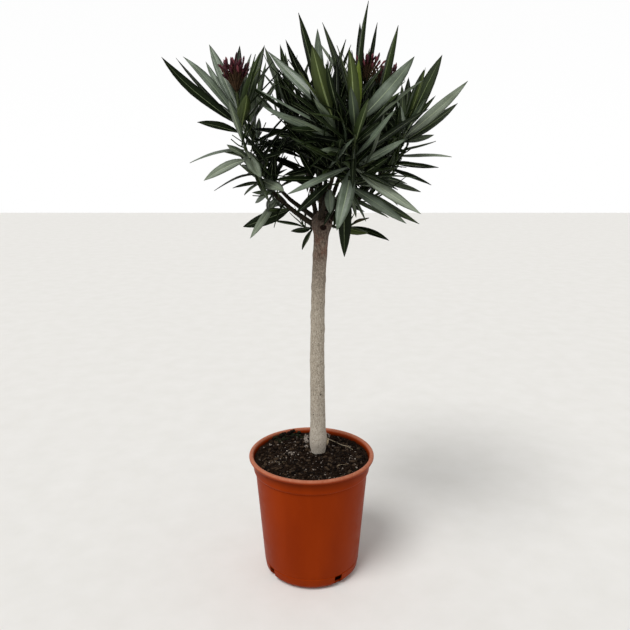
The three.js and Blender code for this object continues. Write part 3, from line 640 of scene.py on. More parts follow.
def bud_skin(name, low, high):
    """Closed petals: the eye gets maroon folds that lighten towards dull rose."""
    skin = Skin(name, **{"Roughness": 0.45, "Specular IOR Level": 0.2})
    tone = skin.blend(skin.mottling(2.5, 3), low, high)
    return skin.done(tone, None, skin.bump(skin.waves(1.6, 0.6, "DIAGONAL"), 0.4, 0.6))


def floor_matte():
    """Pale matte studio paper: the eye gets a plain ground with soft shadows."""
    skin = Skin("pale_studio_paper", Roughness=0.85)
    return skin.done(skin.ramp(skin.mottling(60, 3), (0.3, "#E6E4E0"), (0.8, "#EBE9E6")))


# ------------------------------------------------------------------ making pieces
def put(name, data):
    """A new object of this data, in the scene."""
    made = bpy.data.objects.new(name, data)
    bpy.context.scene.collection.objects.link(made)
    return made


def finished(name, shape, materials, replaced=()):
    """A piece from a mesh or a heap, riding on the plant's one body."""
    mesh = shape.mesh(name) if isinstance(shape, Heap) else shape
    piece = put(name, mesh)
    for material in materials:
        mesh.materials.append(material)
    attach(piece, "root")
    if replaced:
        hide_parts(*replaced)
    return piece


def plain_mesh(bm, name):
    mesh = bpy.data.meshes.new(name)
    bm.to_mesh(mesh)
    bm.free()
    return mesh


def mesh_from(bm, name, sharp):
    """A smooth mesh in metres, whose edges past an angle in degrees stay sharp."""
    bmesh.ops.recalc_face_normals(bm, faces=bm.faces)
    mesh = plain_mesh(bm, name)
    mesh.transform(Matrix.Scale(MM, 4))
    mesh.polygons.foreach_set("use_smooth", [True] * len(mesh.polygons))
    mesh.set_sharp_from_angle(angle=math.radians(sharp))
    return mesh


def spun(profile, steps, rounding=0.0):
    """A closed profile of (radius, height) turned about the pot's axis."""
    bm = bmesh.new()
    corners = [bm.verts.new((radius, 0, z)) for radius, z in profile]
    for pair in zip(corners, corners[1:]):
        bm.edges.new(pair)
    if rounding:
        bmesh.ops.bevel(bm, geom=corners[1:-1], offset=rounding, segments=3, profile=0.5,
                        affect="VERTICES", material=-1)
    bmesh.ops.spin(bm, geom=bm.verts[:] + bm.edges[:], cent=(0, 0, 0), axis=(0, 0, 1),
                   angle=2 * math.pi, steps=steps, use_merge=True)
    bmesh.ops.remove_doubles(bm, verts=bm.verts, dist=0.01)
    return bm


class Heap:
    """Many small shapes joined into one mesh from arrays."""

    def __init__(self):
        self.verts, self.faces, self.kinds, self.uvs = [], [], [], []
        self.count = 0

    def add(self, verts, faces, kinds, uvs=None):
        self.verts.append(verts)
        self.faces.append(faces + self.count)
        self.kinds.append(kinds)
        self.uvs.append(np.zeros((len(faces), 4, 2)) if uvs is None else uvs)
        self.count += len(verts)

    def mesh(self, name):
        verts = np.concatenate(self.verts) * MM
        faces = np.concatenate(self.faces)
        mesh = bpy.data.meshes.new(name)
        mesh.from_pydata(verts.tolist(), [], faces.tolist())
        mesh.polygons.foreach_set("material_index", np.concatenate(self.kinds).astype(np.int32))
        mesh.polygons.foreach_set("use_smooth", np.ones(len(faces), bool))
        layer = mesh.uv_layers.new(name="blade")
        layer.data.foreach_set("uv", np.concatenate(self.uvs).astype(np.float32).ravel())
        mesh.update()
        return mesh


def tube_faces(rings, sides):
    """The quads of a tube of rings, run from its first ring to its last."""
    i, j = np.meshgrid(np.arange(rings - 1), np.arange(sides), indexing="ij")
    after = (j + 1) % sides
    return np.stack([i * sides + j, i * sides + after, (i + 1) * sides + after,
                     (i + 1) * sides + j], -1).reshape(-1, 4)


def end_faces(start, sides, flipped):
    """Quads that close a ring with an even number of sides, from one edge to the other."""
    half = sides // 2
    quads = []
    for k in range(half):
        quad = [start + k, start + k + 1, start + (sides - k - 1) % sides, start + (sides - k) % sides]
        quads.append(quad[::-1] if flipped else quad)
    return quads


def closed_tube(heap, rings, ends, kinds):
    """A tube through rings of places, closed to a point at each end, with one kind a stretch."""
    count, sides = len(rings), len(rings[0])
    faces = tube_faces(count, sides)
    first, last_ring = count * sides, (count - 1) * sides
    caps = []
    for j in range(0, sides, 2):
        after = (j + 2) % sides
        caps.append([first, after, (j + 1) % sides, j])
        caps.append([first + 1, last_ring + j, last_ring + j + 1, last_ring + after])
    uvs = np.zeros((len(faces) + len(caps), 4, 2))
    uvs[:len(faces), :, 0] = (faces % sides) / sides
    uvs[:len(faces), :, 1] = (faces // sides) / count
    heap.add(np.vstack([*rings, ends]), np.vstack([faces, caps]),
             np.concatenate([np.repeat(kinds, sides), np.full(len(caps), kinds[-1])]), uvs)


def ring_round(centre, axis, radius, angles):
    right, back = across(axis)
    return centre + radius * (np.outer(np.cos(angles), right) + np.outer(np.sin(angles), back))


def tube(heap, line, start, end, radius_at, sides, rings, kind_at):
    """A limb along a stretch of a line."""
    angles = np.arange(sides) * 2 * math.pi / sides
    shares = np.linspace(0, 1, rings)
    round_line = []
    for share in shares:
        at = start + (end - start) * share
        round_line.append(ring_round(line.at(at), line.heading(at), radius_at(share), angles))
    closed_tube(heap, round_line, (line.at(start), line.at(end)),
                [kind_at(share) for share in shares[:-1]])


def spindle(heap, foot, heading, lengths, radii, sides, kinds, twist=0.0):
    """A stalk or a bud: rings along a straight line, each ring turned a little further."""
    angles = np.arange(sides) * 2 * math.pi / sides
    rings = [ring_round(foot + heading * length, heading, radius, angles + twist * i)
             for i, (length, radius) in enumerate(zip(lengths, radii))]
    closed_tube(heap, rings, (foot + heading * lengths[0], foot + heading * lengths[-1]), kinds)


# ------------------------------------------------------------------ leaves
BLADE = Sizes(stations=10, above=(-1, -0.5, -0.05, 0.05, 0.5, 1), below=(0.11, -0.11),
              fold=0.42, dish=0.14, groove=0.25, thick=0.7, midrib=0.9, petiole=0.07, slim=0.92,
              sway=0.018, arch=0.012, twist=14, wave=(0.01, 0.05), waves=15)


def blade_width(t):
    """Share of the full width along a lance-shaped leaf, from its stalk to its point."""
    stalk = np.clip(t / BLADE.petiole, 0, 1)
    swell = np.clip((t - 0.04) / 0.42, 0, 1)
    taper = np.clip((t - 0.46) / 0.54, 0, 1)
    body = np.sin(swell * math.pi / 2) ** 0.8 * (1 - taper ** 2.3)
    return np.maximum(body, 0.13 * stalk * (1 - taper) + 0.012) + 0.05 * (1 - stalk)


def rows_of_one(vectors):
    """Each row of vectors, made one long."""
    return vectors / np.linalg.norm(vectors, axis=1)[:, None]


def leaf_shape(heap, leaf, draw, kinds):
    """A folded, slightly twisted blade with a grooved midrib above and a raised one below."""
    top, rib, under = kinds
    stations, above = BLADE.stations, np.array(BLADE.above)
    t = np.linspace(0, 1, stations)
    t = t * 0.72 + (1 - np.cos(t * math.pi)) * 0.14
    side = np.cross(leaf.along, leaf.face)
    centre = (np.outer((1 - t) ** 2, leaf.root) + np.outer(2 * t * (1 - t), leaf.bend)
              + np.outer(t ** 2, leaf.tip))
    sway, arch = draw(-BLADE.sway, BLADE.sway), draw(-BLADE.arch, BLADE.arch)
    centre += np.outer(np.sin(t * math.pi) * sway * leaf.length, side)
    centre += np.outer(np.sin(t * math.pi * 2) * arch * leaf.length, leaf.face)
    twist = np.radians(draw(-BLADE.twist, BLADE.twist)) * np.clip(t - 0.25, 0, 1)
    heading = rows_of_one(np.gradient(centre, axis=0))
    wide = np.outer(np.cos(twist), side) + np.outer(np.sin(twist), leaf.face)
    wide = rows_of_one(wide - heading * np.sum(wide * heading, axis=1)[:, None])
    facing = np.cross(wide, heading)
    facing *= np.sign(np.sum(facing * leaf.face, axis=1))[:, None]
    half = leaf.width / 2 * BLADE.slim * blade_width(t)
    around = np.concatenate([above, BLADE.below])
    columns, middle = len(around), len(above) // 2 - 1
    spread = np.tile(around, (stations, 1))
    spread[:, np.abs(around) < 0.2] *= (1.25 - 0.75 * t)[:, None]
    fold = BLADE.fold * draw(0.5, 1.5) * (1 - 0.5 * t)
    raised = (np.abs(spread) * fold[:, None] - spread ** 4 * BLADE.dish) * half[:, None]
    for edge in (0, len(above) - 1):
        raised[:, edge] += np.sin(draw(0, 6.28) + t * BLADE.waves) * draw(*BLADE.wave) * half
    raised[:, middle:middle + 2] -= BLADE.groove
    raised[:, len(above):] -= (BLADE.thick + BLADE.midrib * (1 - 0.8 * t))[:, None]
    ring = (centre[:, None] + wide[:, None] * (spread * half[:, None])[..., None]
            + facing[:, None] * raised[..., None])
    faces = tube_faces(stations, columns)
    caps = end_faces(0, columns, False) + end_faces((stations - 1) * columns, columns, True)
    if np.dot(np.cross(ring[1, 1] - ring[1, 0], ring[2, 0] - ring[1, 0]), facing[1]) < 0:
        faces = faces[:, ::-1]
        caps = [quad[::-1] for quad in caps]
    column = np.tile(np.arange(columns), stations - 1)
    kinds = np.where(column < len(above) - 1, top, under)
    kinds[(column == middle) | (column == len(above))] = rib
    uvs = np.stack([around[faces % columns] * 0.5 + 0.5, t[faces // columns]], -1)
    uvs = np.concatenate([uvs, np.zeros((len(caps), 4, 2))])
    heap.add(ring.reshape(-1, 3), np.vstack([faces, caps]),
             np.concatenate([kinds, np.full(len(caps), rib)]), uvs)


# Looks dealt out by chance, each up to its share: the commonest are dark.
DEALT_LOOKS = ((0.5, "deep"), (0.7, "green"), (0.88, "dull"), (0.97, "grey"), (1, "pale"))


def look_of(leaf, draw):
    """A leaf's own look, or the near-black look of painted shade inside the crown, bright when young,
    and dealt out elsewhere.
    """
    chance = draw(0, 1)
    if leaf.look:
        return leaf.look
    # Painted shade: leaves deep inside the crown get the near-black look.
    if crown_share(leaf.tip * 0.6 + leaf.root * 0.4) < 0.5 + 0.15 * chance:
        return "shade"
    if leaf.age < 0.12:
        return "olive" if chance < 0.4 else "green"
    return next(look for share, look in DEALT_LOOKS if chance < share)


def crosses_sky(leaf):
    """Whether a leaf would cross one of the crown's openings."""
    for t in (0.2, 0.35, 0.5, 0.65, 0.8, 1):
        x, _, z = (1 - t) ** 2 * leaf.root + 2 * t * (1 - t) * leaf.bend + t ** 2 * leaf.tip
        for mid_x, mid_z, half_wide, half_high in SKY:
            if abs(x - mid_x) < half_wide and abs(z - mid_z) < half_high:
                return True
    return False


def side_twigs(shoot, line, bark, draw):
    """Short leafy twigs on the shoot's lower part: the eye gets a crown that is full inside."""
    if line.length < TWIG.shortest_shoot:
        return
    wide, thin = TWIG.radius
    for j in range(TWIG.each):
        up = (TWIG.high - shoot.enter) * (j + draw(0, 1)) / TWIG.each
        share = shoot.enter + TWIG.low + up
        bearing = shoot.turn + math.degrees(j * GOLDEN_ANGLE)
        heading = heading_at(line, share, bearing, draw(*TWIG.lean), 0)
        foot, length = line.at(share), draw(*TWIG.length)
        lift = np.array((0, 0, length * TWIG.lift))
        twig = Line([foot, foot + heading * length * 0.5, foot + heading * length + lift])
        tube(bark, twig, 0, 1, lambda at: wide + (thin - wide) * at, 6, 8, lambda at: 1)
        yield from twig_leaves(twig, bearing, draw)


def twig_leaves(twig, bearing, draw):
    """Whorls of small leaves at a twig's end, clear of the crown's skin and its openings."""
    low, high = TWIG.spread
    stray, turn_stray, roll = TWIG.stray, TWIG.turn_stray, TWIG.roll
    for i in range(TWIG.whorls):
        at = TWIG.first - TWIG.apart * i
        spread = low + (high - low) * i / (TWIG.whorls - 1)
        for k in range(3):
            lean, size = spread + draw(-stray, stray), draw(*TWIG.leaf)
            turn = bearing + 60 * i + 120 * k + draw(-turn_stray, turn_stray)
            tip = twig.at(at) + heading_at(twig, at, turn, lean, TWIG.sag) * size
            if crown_share(tip) > TWIG.reach:
                continue
            leaf = leaf_from(twig, at, tip, size * TWIG.width_share, draw(*TWIG.bow),
                             draw(-roll, roll), TWIG.age)
            if not crosses_sky(leaf):
                yield leaf


# ------------------------------------------------------------------ buds
def bud_cluster(heap, shoot, line, draw):
    """Buds on thin stalks, fanned out round the shoot's tip and finer than the frame's."""
    top, axis = line.at(1), line.heading(1)
    right, back = across(axis)
    count = round(shoot.buds * BUD.finer)
    stalk = BUD.stalk_radius
    for i in range(count):
        spread = BUD.spread * math.sqrt((i + 0.5) / count)
        reach = BUD.stalk * (1 - BUD.doming * spread) * draw(*BUD.sizes)
        sideways = outward(axis, i * GOLDEN_ANGLE)
        heading = unit(axis * math.cos(spread) + sideways * math.sin(spread))
        spindle(heap, top, heading, (-BUD.sunk, reach * 0.55, reach - 1, reach),
                (stalk, stalk * 0.8, stalk * 0.9, stalk * 1.3), 6, (0, 0, 0))
        bud_axis = unit(heading + (right * draw(-1, 1) + back * draw(-1, 1)) * BUD.wander)
        length, radius = BUD.length * draw(*BUD.lengths), BUD.radius * draw(*BUD.radii)
        kinds = (1, 1) + (2 + int(draw(0, 2.999)),) * 5
        spindle(heap, top + heading * (reach - 0.5), bud_axis,
                [share * length for share in BUD.shares],
                [girth * radius for girth in BUD.girths], BUD.sides, kinds, BUD.twist)
        for k in range(3):
            lobe = turned_about(sideways, bud_axis, k * 2 * math.pi / 3)
            spindle(heap, top + heading * (reach - 0.2) + lobe * radius * 0.35,
                    unit(bud_axis + lobe * BUD.twist), (0, length * 0.16, length * 0.34),
                    (0.5, 0.75, 0.12), 4, (1, 1))


# ------------------------------------------------------------------ limbs
def girth_of(shoot):
    wide, thin = shoot.radius
    return lambda share: thin + (wide - thin) * (1 - share) ** LIMB_TAPER


def twigs_of(shoot, line, leaves, heap, draw):
    """The shoot inside its foliage, swollen at each whorl, with a small bud above each leaf."""
    girth = girth_of(shoot)
    roots = [line.share_of(leaf.root) for leaf in leaves]
    joints = sorted({round(float(line.length * share), 1) for share in roots})

    def radius_at(share):
        at = shoot.enter + share * (1 - shoot.enter)
        swell = sum(math.exp(-((at * line.length - joint) / 1.6) ** 2) for joint in joints)
        end = max(0.25, min(1, (1 - share) * line.length / 3))
        return girth(at) * (1 + 0.14 * min(1, swell)) * min(1, 0.5 + end)

    tube(heap, line, shoot.enter, 1, radius_at, 10, 90, lambda share: 0 if share < 0.55 else 1)
    for leaf, share in zip(leaves, roots):
        axis = line.heading(share)
        out = unit(leaf.along - axis * np.dot(leaf.along, axis))
        foot = leaf.root + out * girth(share) * 0.7 + axis * 2
        size = draw(1.6, 3.2)
        spindle(heap, foot, unit(axis + out * 0.6), (-1, size * 0.4, size), (0.9, 1.0, 0.2), 4, (1, 1))


def rippled(spot, size, seed=0):
    return noise.noise(Vector(spot) / size + Vector((seed, 0, 0)))


def limb_mesh(name, line, start, end, radius_at, relief, sides, rings):
    """A limb with relief in its bark: a grid wrapped round a stretch of its centre line."""
    bm = bmesh.new()
    bmesh.ops.create_grid(bm, x_segments=sides, y_segments=rings, size=0.5)
    for vert in bm.verts:
        angle, share = (vert.co.x + 0.5) * 2 * math.pi, min(max(vert.co.y + 0.5, 0), 1)
        at = start + (end - start) * share
        out = outward(line.heading(at), angle)
        spot = line.at(at)
        radius = radius_at(share)
        vert.co = Vector(spot + out * (radius + relief(spot + out * radius, share, angle)))
    bmesh.ops.remove_doubles(bm, verts=bm.verts, dist=0.001)
    rims = [edge for edge in bm.edges if edge.is_boundary]
    bmesh.ops.holes_fill(bm, edges=rims, sides=0)
    return mesh_from(bm, name, 75)


def trunk_radius(share):
    """The stem's radius without relief: flared at the foot, slim, and swollen at the head."""
    off_flare = (share - TRUNK.flare_at) / TRUNK.flare_share
    tucked = TRUNK.tuck * math.exp(-share / TRUNK.tuck_share)
    flare = (TRUNK.flare - TRUNK.foot) * math.exp(-off_flare ** 2) - tucked
    slim = max(0, 1 - share / TRUNK.slim_at)
    shaft = TRUNK.middle + (TRUNK.foot - TRUNK.middle) * slim
    off_head = (share - TRUNK.head_at) / TRUNK.head_share
    swelling = (TRUNK.head - TRUNK.middle) * math.exp(-off_head ** 2)
    topped = max(0, (share - TRUNK.head_at) / (1 - TRUNK.head_at))
    return (shaft + swelling) * (1 - TRUNK.rounding * topped ** 2) + flare


# Healed knots on the stem: height, bearing in degrees, radius, and how far they stand out.
KNOTS = (
    (298, 295, 3.6, 0.7), (264, 235, 4.2, 0.9), (380, 228, 3.4, 0.7), (426, 185, 4.4, 1.5),
    (404, 350, 4.2, 1.2), (470, 190, 4.0, 1.3), (482, 352, 3.6, 1.0), (340, 20, 3.6, 0.9),
    (520, 168, 3.2, 0.9), (455, 95, 4.0, 1.1), (310, 110, 3.8, 0.9), (368, 75, 3.4, 0.8),
    (232, 60, 4.2, 0.9), (214, 345, 4.6, 1.2),
)
# Cut stubs on the head: height, bearing, radius.
SCARS = ((563, 279, 6.8), (570, 316, 3.8), (568, 196, 3.2), (569, 60, 3.8), (566, 130, 3.4))


STEM_RISE = TRUNK.head_z - TRUNK.foot_z


def stem_line():
    return Line([(TRUNK.x + aside, TRUNK.y, TRUNK.foot_z + STEM_RISE * share)
                 for share, aside in TRUNK.lean])


def apart_on_stem(spot, angle, z, bearing, girth, squeeze=1.0):
    """How far a place on the stem's skin is from a height and a bearing, in millimetres."""
    turn = (math.degrees(angle) - bearing + 180) % 360 - 180
    return math.hypot(math.radians(turn) * girth, (spot[2] - z) * squeeze)


def stem_relief(spot, share, angle):
    """Lumps, fine streaks and creases, healed knots, cut stubs and a rough head."""
    raised = rippled(spot, 17) * 0.55 + rippled((spot[0], spot[1], spot[2] / 2), 2.6) * 0.16
    raised -= 0.2 * max(0, rippled((spot[0] * 2.2, spot[1] * 2.2, spot[2] / 2), 6, 7) - 0.25)
    for z, bearing, radius, height in KNOTS:
        if abs(spot[2] - z) <= radius * 3:
            apart = apart_on_stem(spot, angle, z, bearing, 11.5, 0.8) / radius
            raised += height * (math.exp(-apart ** 2) - 0.75 * math.exp(-(apart / 0.42) ** 2))
    for z, bearing, radius in SCARS:
        apart = apart_on_stem(spot, angle, z, bearing, 15) / radius
        raised += 1.5 * math.exp(-(apart - 1) ** 2 * 5) - 0.8 * math.exp(-(apart / 0.7) ** 4)
    head = max(0, (share - 0.9) / 0.1)
    return raised * (1 if share < 0.995 else 0.3) + head * rippled(spot, 8, 3) * 1.2


def scars(line, heap):
    """Dark cut faces in the head's collars, and dark middles in the stem's healed knots."""
    cut = [(z, bearing, radius * 0.8) for z, bearing, radius in SCARS]
    healed = [(z, bearing, radius * 0.42) for z, bearing, radius, _ in KNOTS]
    for z, bearing, radius in cut + healed:
        share = (z - TRUNK.foot_z) / STEM_RISE
        out = outward(line.heading(share), math.radians(bearing))
        foot = line.at(share) + out * (trunk_radius(share) - 3)
        spindle(heap, foot, out, (0, 3.1, 3.5), (radius, radius * 0.9, radius * 0.35), 12, (0, 0))


def bough_relief(spot, share, _):
    """Lumps, fine grain and a ring where each old whorl stood."""
    rings = 0.22 * math.sin(share * 34) ** 8
    return rippled(spot, 6, 5) * 0.45 + rippled(spot, 1.8, 9) * 0.15 + rings


# ------------------------------------------------------------------ pot and soil
def wall_radius(z):
    return POT.base + (POT.shoulder - POT.base) * z / POT.step_z


def pot_mesh():
    """The pot as one turned profile: foot, groove, wall, step, band and rolled lip."""
    wall, step_z, band, height = POT.wall, POT.step_z, POT.band, POT.height
    lip_z = height - POT.lip_height
    corner = [(wall_radius(z) - inward, z) for inward, z in POT.corner]
    lip = [(POT.rim - inward, height - down) for inward, down in POT.lip]
    groove = [(wall_radius(POT.groove_z + up) - inward, POT.groove_z + up) for up, inward in (
        (0, 0), (0.7, 0.6), (1.9, 0.6), (2.6, 0))]
    outer = [(0, 0), *corner, *groove, (wall_radius(step_z - 1.5), step_z - 1.5),
             (wall_radius(step_z) - 0.5, step_z), (band - 1.2, step_z + 1.6),
             (band - 0.4, step_z + 4), (band, lip_z - 1.5), (band + 1.0, lip_z), *lip]
    inner = [(band - wall, lip_z - wall), (wall_radius(step_z) - wall, step_z)]
    inner += [(radius - wall, z + POT.floor) for radius, z in corner[:0:-1]]
    inner += [(corner[0][0], POT.floor), (0, POT.floor)]
    return mesh_from(spun(outer + inner, POT.steps, 0.35), "nursery_pot", POT.sharp)


def notched(pot):
    """Cuts the drain notches out of the pot's lower corner."""
    notch = POT.notch
    size = Vector((notch.depth, notch.width, notch.height * 2)) * MM
    bm = bmesh.new()
    for i in range(notch.count):
        turn = math.radians(notch.first + i * 360 / notch.count)
        made = bmesh.ops.create_cube(bm, size=1)["verts"]
        bmesh.ops.scale(bm, verts=made, vec=size)
        bmesh.ops.translate(bm, verts=made, vec=Vector((POT.base * MM, 0, 0)))
        bmesh.ops.rotate(bm, verts=made, cent=(0, 0, 0), matrix=Matrix.Rotation(turn, 3, "Z"))
    cutter = put("notch_cutter", plain_mesh(bm, "notch_cutter"))
    cut = pot.modifiers.new("notches", "BOOLEAN")
    cut.operation, cut.object, cut.solver = "DIFFERENCE", cutter, "EXACT"
    bpy.context.view_layer.update()
    clean = bpy.data.meshes.new_from_object(
        pot.evaluated_get(bpy.context.evaluated_depsgraph_get()))
    pot.modifiers.clear()
    pot.data = clean
    bpy.data.objects.remove(cutter)
    clean.set_sharp_from_angle(angle=math.radians(POT.sharp))


def soil_height(x, y):
    """The compost's level, with low mounds round the stem and at the back left."""
    stem = max(math.hypot(x - TRUNK.x, y - TRUNK.y) - TRUNK.flare, 0)
    back = math.hypot(x - SOIL.back[0], y - SOIL.back[1])
    heap = SOIL.mound * math.exp(-(stem / SOIL.mound_radius) ** 2)
    far = SOIL.back_mound * math.exp(-(back / SOIL.mound_radius) ** 2)
    return SOIL.level + heap + far * min(1, stem / SOIL.collar)


def crumbled(x, y):
    """The height of the compost's lumpy top."""
    spot = Vector((x, y, 0))
    lumps = noise.fractal(spot / 9, 0.7, 2.1, 6) * 2.2
    return soil_height(x, y) + lumps + noise.noise(spot / 2.2) * 0.9


def on_compost(radius, bearing, above):
    """A place over the compost's top, by radius and bearing."""
    x, y = radius * math.cos(bearing), radius * math.sin(bearing)
    return np.array((x, y, crumbled(x, y) + above))


def soil_mesh():
    """The compost, with a hollow behind the drain notches and a lumpy top."""
    inside = lambda z: wall_radius(z) - POT.wall - SOIL.clear
    foot = POT.floor + 0.3
    inset, hollow_z = POT.corner[0][0], POT.notch.height + 12
    rim = inside(POT.step_z) + SOIL.lap
    edge = [(0, foot), (inside(0) - inset - 6, foot), (inside(hollow_z) - 8, hollow_z - 4),
            (inside(hollow_z), hollow_z), (inside(POT.step_z), POT.step_z)]
    rings = SOIL.rings
    top = [(rim * (1 - i / rings), SOIL.level) for i in range(rings + 1)]
    bm = spun(edge + top, SOIL.steps)
    for vert in bm.verts:
        if vert.co.z > POT.step_z + 1:
            vert.co.z = crumbled(vert.co.x, vert.co.y)
    return mesh_from(bm, "compost", 60)


def ball():
    """The corners and faces of a small ball of quads, one across each way."""
    bm = bmesh.new()
    bmesh.ops.create_cube(bm, size=2)
    bmesh.ops.subdivide_edges(bm, edges=bm.edges[:], cuts=2, use_grid_fill=True)
    bm.verts.ensure_lookup_table()
    corners = np.array([vert.co.normalized() for vert in bm.verts])
    faces = np.array([[vert.index for vert in face.verts] for face in bm.faces])
    bm.free()
    return corners, faces


# Kinds of crumbs, as places in the list of their materials.
PALE, MOSSY, DARK = 3, 4, 2
CLODS = Sizes(count=72, heaped=58, bearings=(102, 140), sizes=(1.4, 3.6), small=(1.2, 2.2), lift=7)
CRUMBS = Sizes(count=3200, smallest=0.4, growth=1.9, pale=0.15, pale_size=1.3)
# Patches of pale grit round the stem's foot: middle x and y, half width and depth, and grains.
GRIT = ((-9, 62, 3.5, 15, 110), (-8.5, 32, 3, 4, 20), (28, 76, 4, 10, 20), (-40, 4, 14, 14, 30))
# A flake of bark that stands off the stem's foot: foot, heading, lengths and radii.
FLAKE = ((24.8, 11, 209), (0.22, -0.1, 1), (0, 4, 9, 12), (1.5, 1.9, 1.3, 0.3))
# Dry roots on the compost: radius and way.
ROOTS = ((0.7, ((24, 66), (34, 56), (50, 38), (60, 30), (69, 19))),
         (0.35, ((-58, -20), (-50, -24), (-41, -22))), (0.35, ((40, -40), (47, -33), (56, -34))))


def clods(heap, draw):
    """Mossy clods heaped against the wall at the back left, and a few by the rim."""
    corners, faces = ball()
    reach = wall_radius(POT.step_z) - POT.wall - 2
    for i in range(CLODS.count):
        heaped = i < CLODS.heaped
        bearing = math.radians(draw(*CLODS.bearings) if heaped else draw(0, 360))
        size = draw(*(CLODS.sizes if heaped else CLODS.small))
        inward = draw(0, 1) ** 2
        radius = (reach + 3 - size) * (1 - 0.22 * inward) if heaped else reach - size
        rough = [[noise.noise(Vector(corner) * 2.3 + Vector((i, 0, 0)))] for corner in corners]
        shape = corners * size * (1 + 0.55 * np.array(rough)) * np.array((1.1, 1.0, 0.8))
        lift = draw(0, CLODS.lift) * (1 - inward) ** 3 if heaped else 0
        heap.add(shape + on_compost(radius, bearing, size * 0.35 + lift), faces,
                 np.full(len(faces), MOSSY if i % 3 else DARK))


def crumbs_on(heap, draw):
    """Loose crumbs and bark chips all over the compost."""
    unit_cube = np.array([(x, y, z) for x in (-1, 1) for y in (-1, 1) for z in (-1, 1)], float)
    sides = np.array([(0, 1, 3, 2), (4, 6, 7, 5), (0, 4, 5, 1), (2, 3, 7, 6), (0, 2, 6, 4),
                      (1, 5, 7, 3)])
    reach = wall_radius(POT.step_z) - POT.wall - 3
    for _ in range(CRUMBS.count):
        radius, bearing = reach * math.sqrt(draw(0, 1)), draw(0, 2 * math.pi)
        place = on_compost(radius, bearing, 0)
        if math.hypot(place[0] - TRUNK.x, place[1] - TRUNK.y) < TRUNK.foot - 1:
            continue
        size = CRUMBS.smallest + CRUMBS.growth * draw(0, 1) ** 3
        shape = unit_cube * np.array((size * draw(0.7, 1.9), size * draw(0.6, 1), size * 0.55))
        shape *= 1 + 0.35 * np.array([[draw(-1, 1)] for _ in range(8)])
        spin = Matrix.Rotation(draw(0, 2 * math.pi), 3, "Z")
        tip = Matrix.Rotation(draw(-0.6, 0.6), 3, "Y")
        place[2] += size * 0.3
        kind = PALE if size < CRUMBS.pale_size and draw(0, 1) < CRUMBS.pale else int(draw(0, 3))
        heap.add(shape @ np.array(tip) @ np.array(spin) + place, sides, np.full(6, kind))


def grit(heap, draw):
    """Pale grit on the compost at the stem's foot."""
    corners, faces = ball()
    for x, y, wide, deep, grains in GRIT:
        for _ in range(grains):
            at_x, at_y, size = x + wide * draw(-1, 1), y + deep * draw(-1, 1), draw(0.5, 1.5)
            shape = corners * size * np.array((draw(0.7, 1.4), draw(0.7, 1.2), draw(0.5, 1)))
            heap.add(shape + np.array((at_x, at_y, crumbled(at_x, at_y) + size * 0.7)), faces,
                     np.full(len(faces), PALE))


def dry_root(heap):
    """Thin pale roots that lie across the compost, and a flake of bark at the stem's foot."""
    foot, heading, lengths, radii = FLAKE
    spindle(heap, np.array(foot, float), unit(np.array(heading, float)), lengths, radii, 10,
            (0, 0, 0), 0.3)
    for radius, way in ROOTS:
        line = Line([(x, y, crumbled(x, y) + 1.6) for x, y in way])
        tube(heap, line, 0, 1, lambda share: radius * (1.1 - 0.5 * share), 6, 30, lambda share: 0)


# ------------------------------------------------------------------ the plant
def dress(shoot, index):
    """One shoot: its leaves, its twigs, its buds where it has any, and its bough."""
    line, draw = Line(shoot.way), Draws(FIRST_SEED * 3 + index)
    leaves, foliage, twigs = leaves_of(shoot, line, index), Heap(), Heap()
    inner = list(side_twigs(shoot, line, twigs, draw))
    for leaf in leaves + inner:
        kind = looks.index(look_of(leaf, draw)) * 3
        leaf_shape(foliage, leaf, draw, (kind, kind + 1, kind + 2))
    finished("leaves_" + shoot.name, foliage, leaf_skins, ("foliage_" + shoot.name,))
    twigs_of(shoot, line, leaves, twigs, draw)
    finished("twigs_" + shoot.name, twigs, (old_bark, green_bark))
    if shoot.buds:
        buds = Heap()
        bud_cluster(buds, shoot, line, draw)
        finished("buds_" + shoot.name, buds, bud_skins)
    girth = girth_of(shoot)
    bough = limb_mesh("limb_" + shoot.name, line, 0.02, shoot.enter + 0.01,
                      lambda share: girth(share * shoot.enter), bough_relief, 24, 40)
    finished("limb_" + shoot.name, bough, (old_bark,), ("bough_" + shoot.name,))


looks, leaf_skins = list(LEAF_LOOKS), leaf_materials()
old_bark = shoot_bark("brown_bough_bark", "#100C07", "#2C2418")
green_bark = shoot_bark("green_shoot_bark", "#262C18", "#4A5434")
bud_skins = [
    shoot_bark("reddish_bud_stalks", "#33261A", "#5A4430"),
    shoot_bark("maroon_calyx", "#2A1012", "#4A2022"),
    bud_skin("closed_petals_maroon", "#1E060A", "#36121A"),
    bud_skin("closed_petals_plum", "#330E16", "#501E2A"),
    bud_skin("closed_petals_rose", "#521C28", "#86484E"),
]
for index, shoot in enumerate(SHOOTS):
    dress(shoot, index)

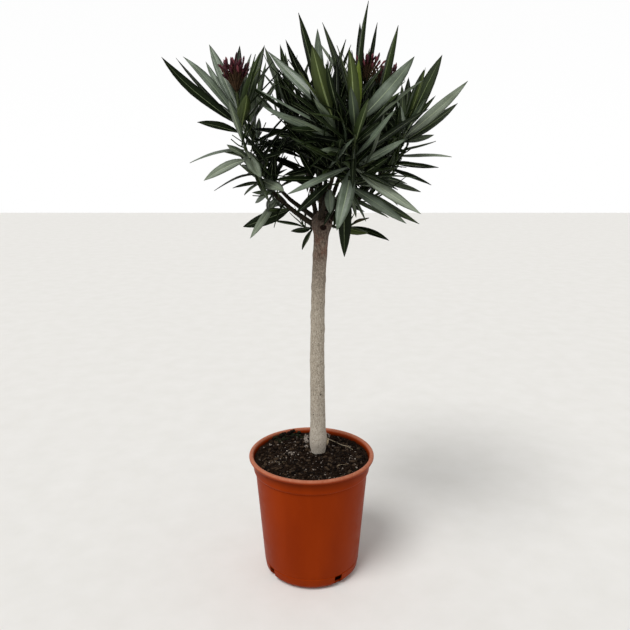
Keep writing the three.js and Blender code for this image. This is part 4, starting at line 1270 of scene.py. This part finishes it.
stem = stem_line()
stem_mesh = limb_mesh("stem", stem, 0, 1, trunk_radius, stem_relief, 96, 520)
finished("stem", stem_mesh, (stem_bark(),), ("trunk",))
cuts = Heap()
scars(stem, cuts)
finished("pruning_cuts", cuts, (crumb("dark_dry_heartwood", "#0C0503", "#22130C"),))

pot = finished("nursery_pot", pot_mesh(), (pot_plastic(),), ("pot",))
notched(pot)
finished("compost", soil_mesh(), (compost(),), ("soil",))
crumbs, draw = Heap(), Draws(FIRST_SEED * 5)
crumbs_on(crumbs, draw)
clods(crumbs, draw)
grit(crumbs, draw)
finished("crumbs", crumbs, (
    crumb("peat_crumbs", "#0E0703", "#2A1C12"), crumb("bark_crumbs", "#241A13", "#574737"),
    crumb("dark_crumbs", "#060302", "#180F09"), crumb("pale_chips", "#6E635A", "#AEA399"),
    crumb("mossy_clods", "#0C0F08", "#262A18")))
roots = Heap()
dry_root(roots)
finished("dry_roots", roots, (crumb("dry_root", "#8A7A64", "#B4A78E"),))


# ------------------------------------------------------------------ floor, light and camera
def plain_floor():
    bm = bmesh.new()
    bmesh.ops.create_grid(bm, x_segments=1, y_segments=1, size=6)
    floor = put("floor", plain_mesh(bm, "floor"))
    floor.data.materials.append(floor_matte())


def studio():
    """A pale surround, dimmer overhead, and a sun with a wide soft disc high on the left."""
    world = bpy.data.worlds.new("studio")
    bpy.context.scene.world = world
    world.use_nodes = True
    nodes = Nodes(world.node_tree)
    height = nodes.part(nodes.add("TexCoord").outputs["Generated"], "Z")
    sky = nodes.ramp(height, (0.0, "#FFFFFF"), (0.22, "#FDFDFD"), (0.6, "#A0A09E"))
    nodes.wire(world.node_tree.nodes["Background"], {"Color": sky, "Strength": 1.0})
    light = bpy.data.lights.new("key", "SUN")
    light.energy, light.angle = 2.1, math.radians(28)
    put("key", light).rotation_euler = (math.radians(32), 0, math.radians(-38))


def camera():
    data = bpy.data.cameras.new("camera")
    data.lens, data.sensor_width = CAMERA.lens, CAMERA.sensor
    made = put("camera", data)
    made.location = Vector((CAMERA.x, -CAMERA.distance, CAMERA.height)) * MM
    made.rotation_euler = (math.radians(90 - CAMERA.tilt), 0, 0)
    bpy.context.scene.camera = made


plain_floor()
studio()
camera()
bpy.context.scene.view_settings.view_transform = "Standard"
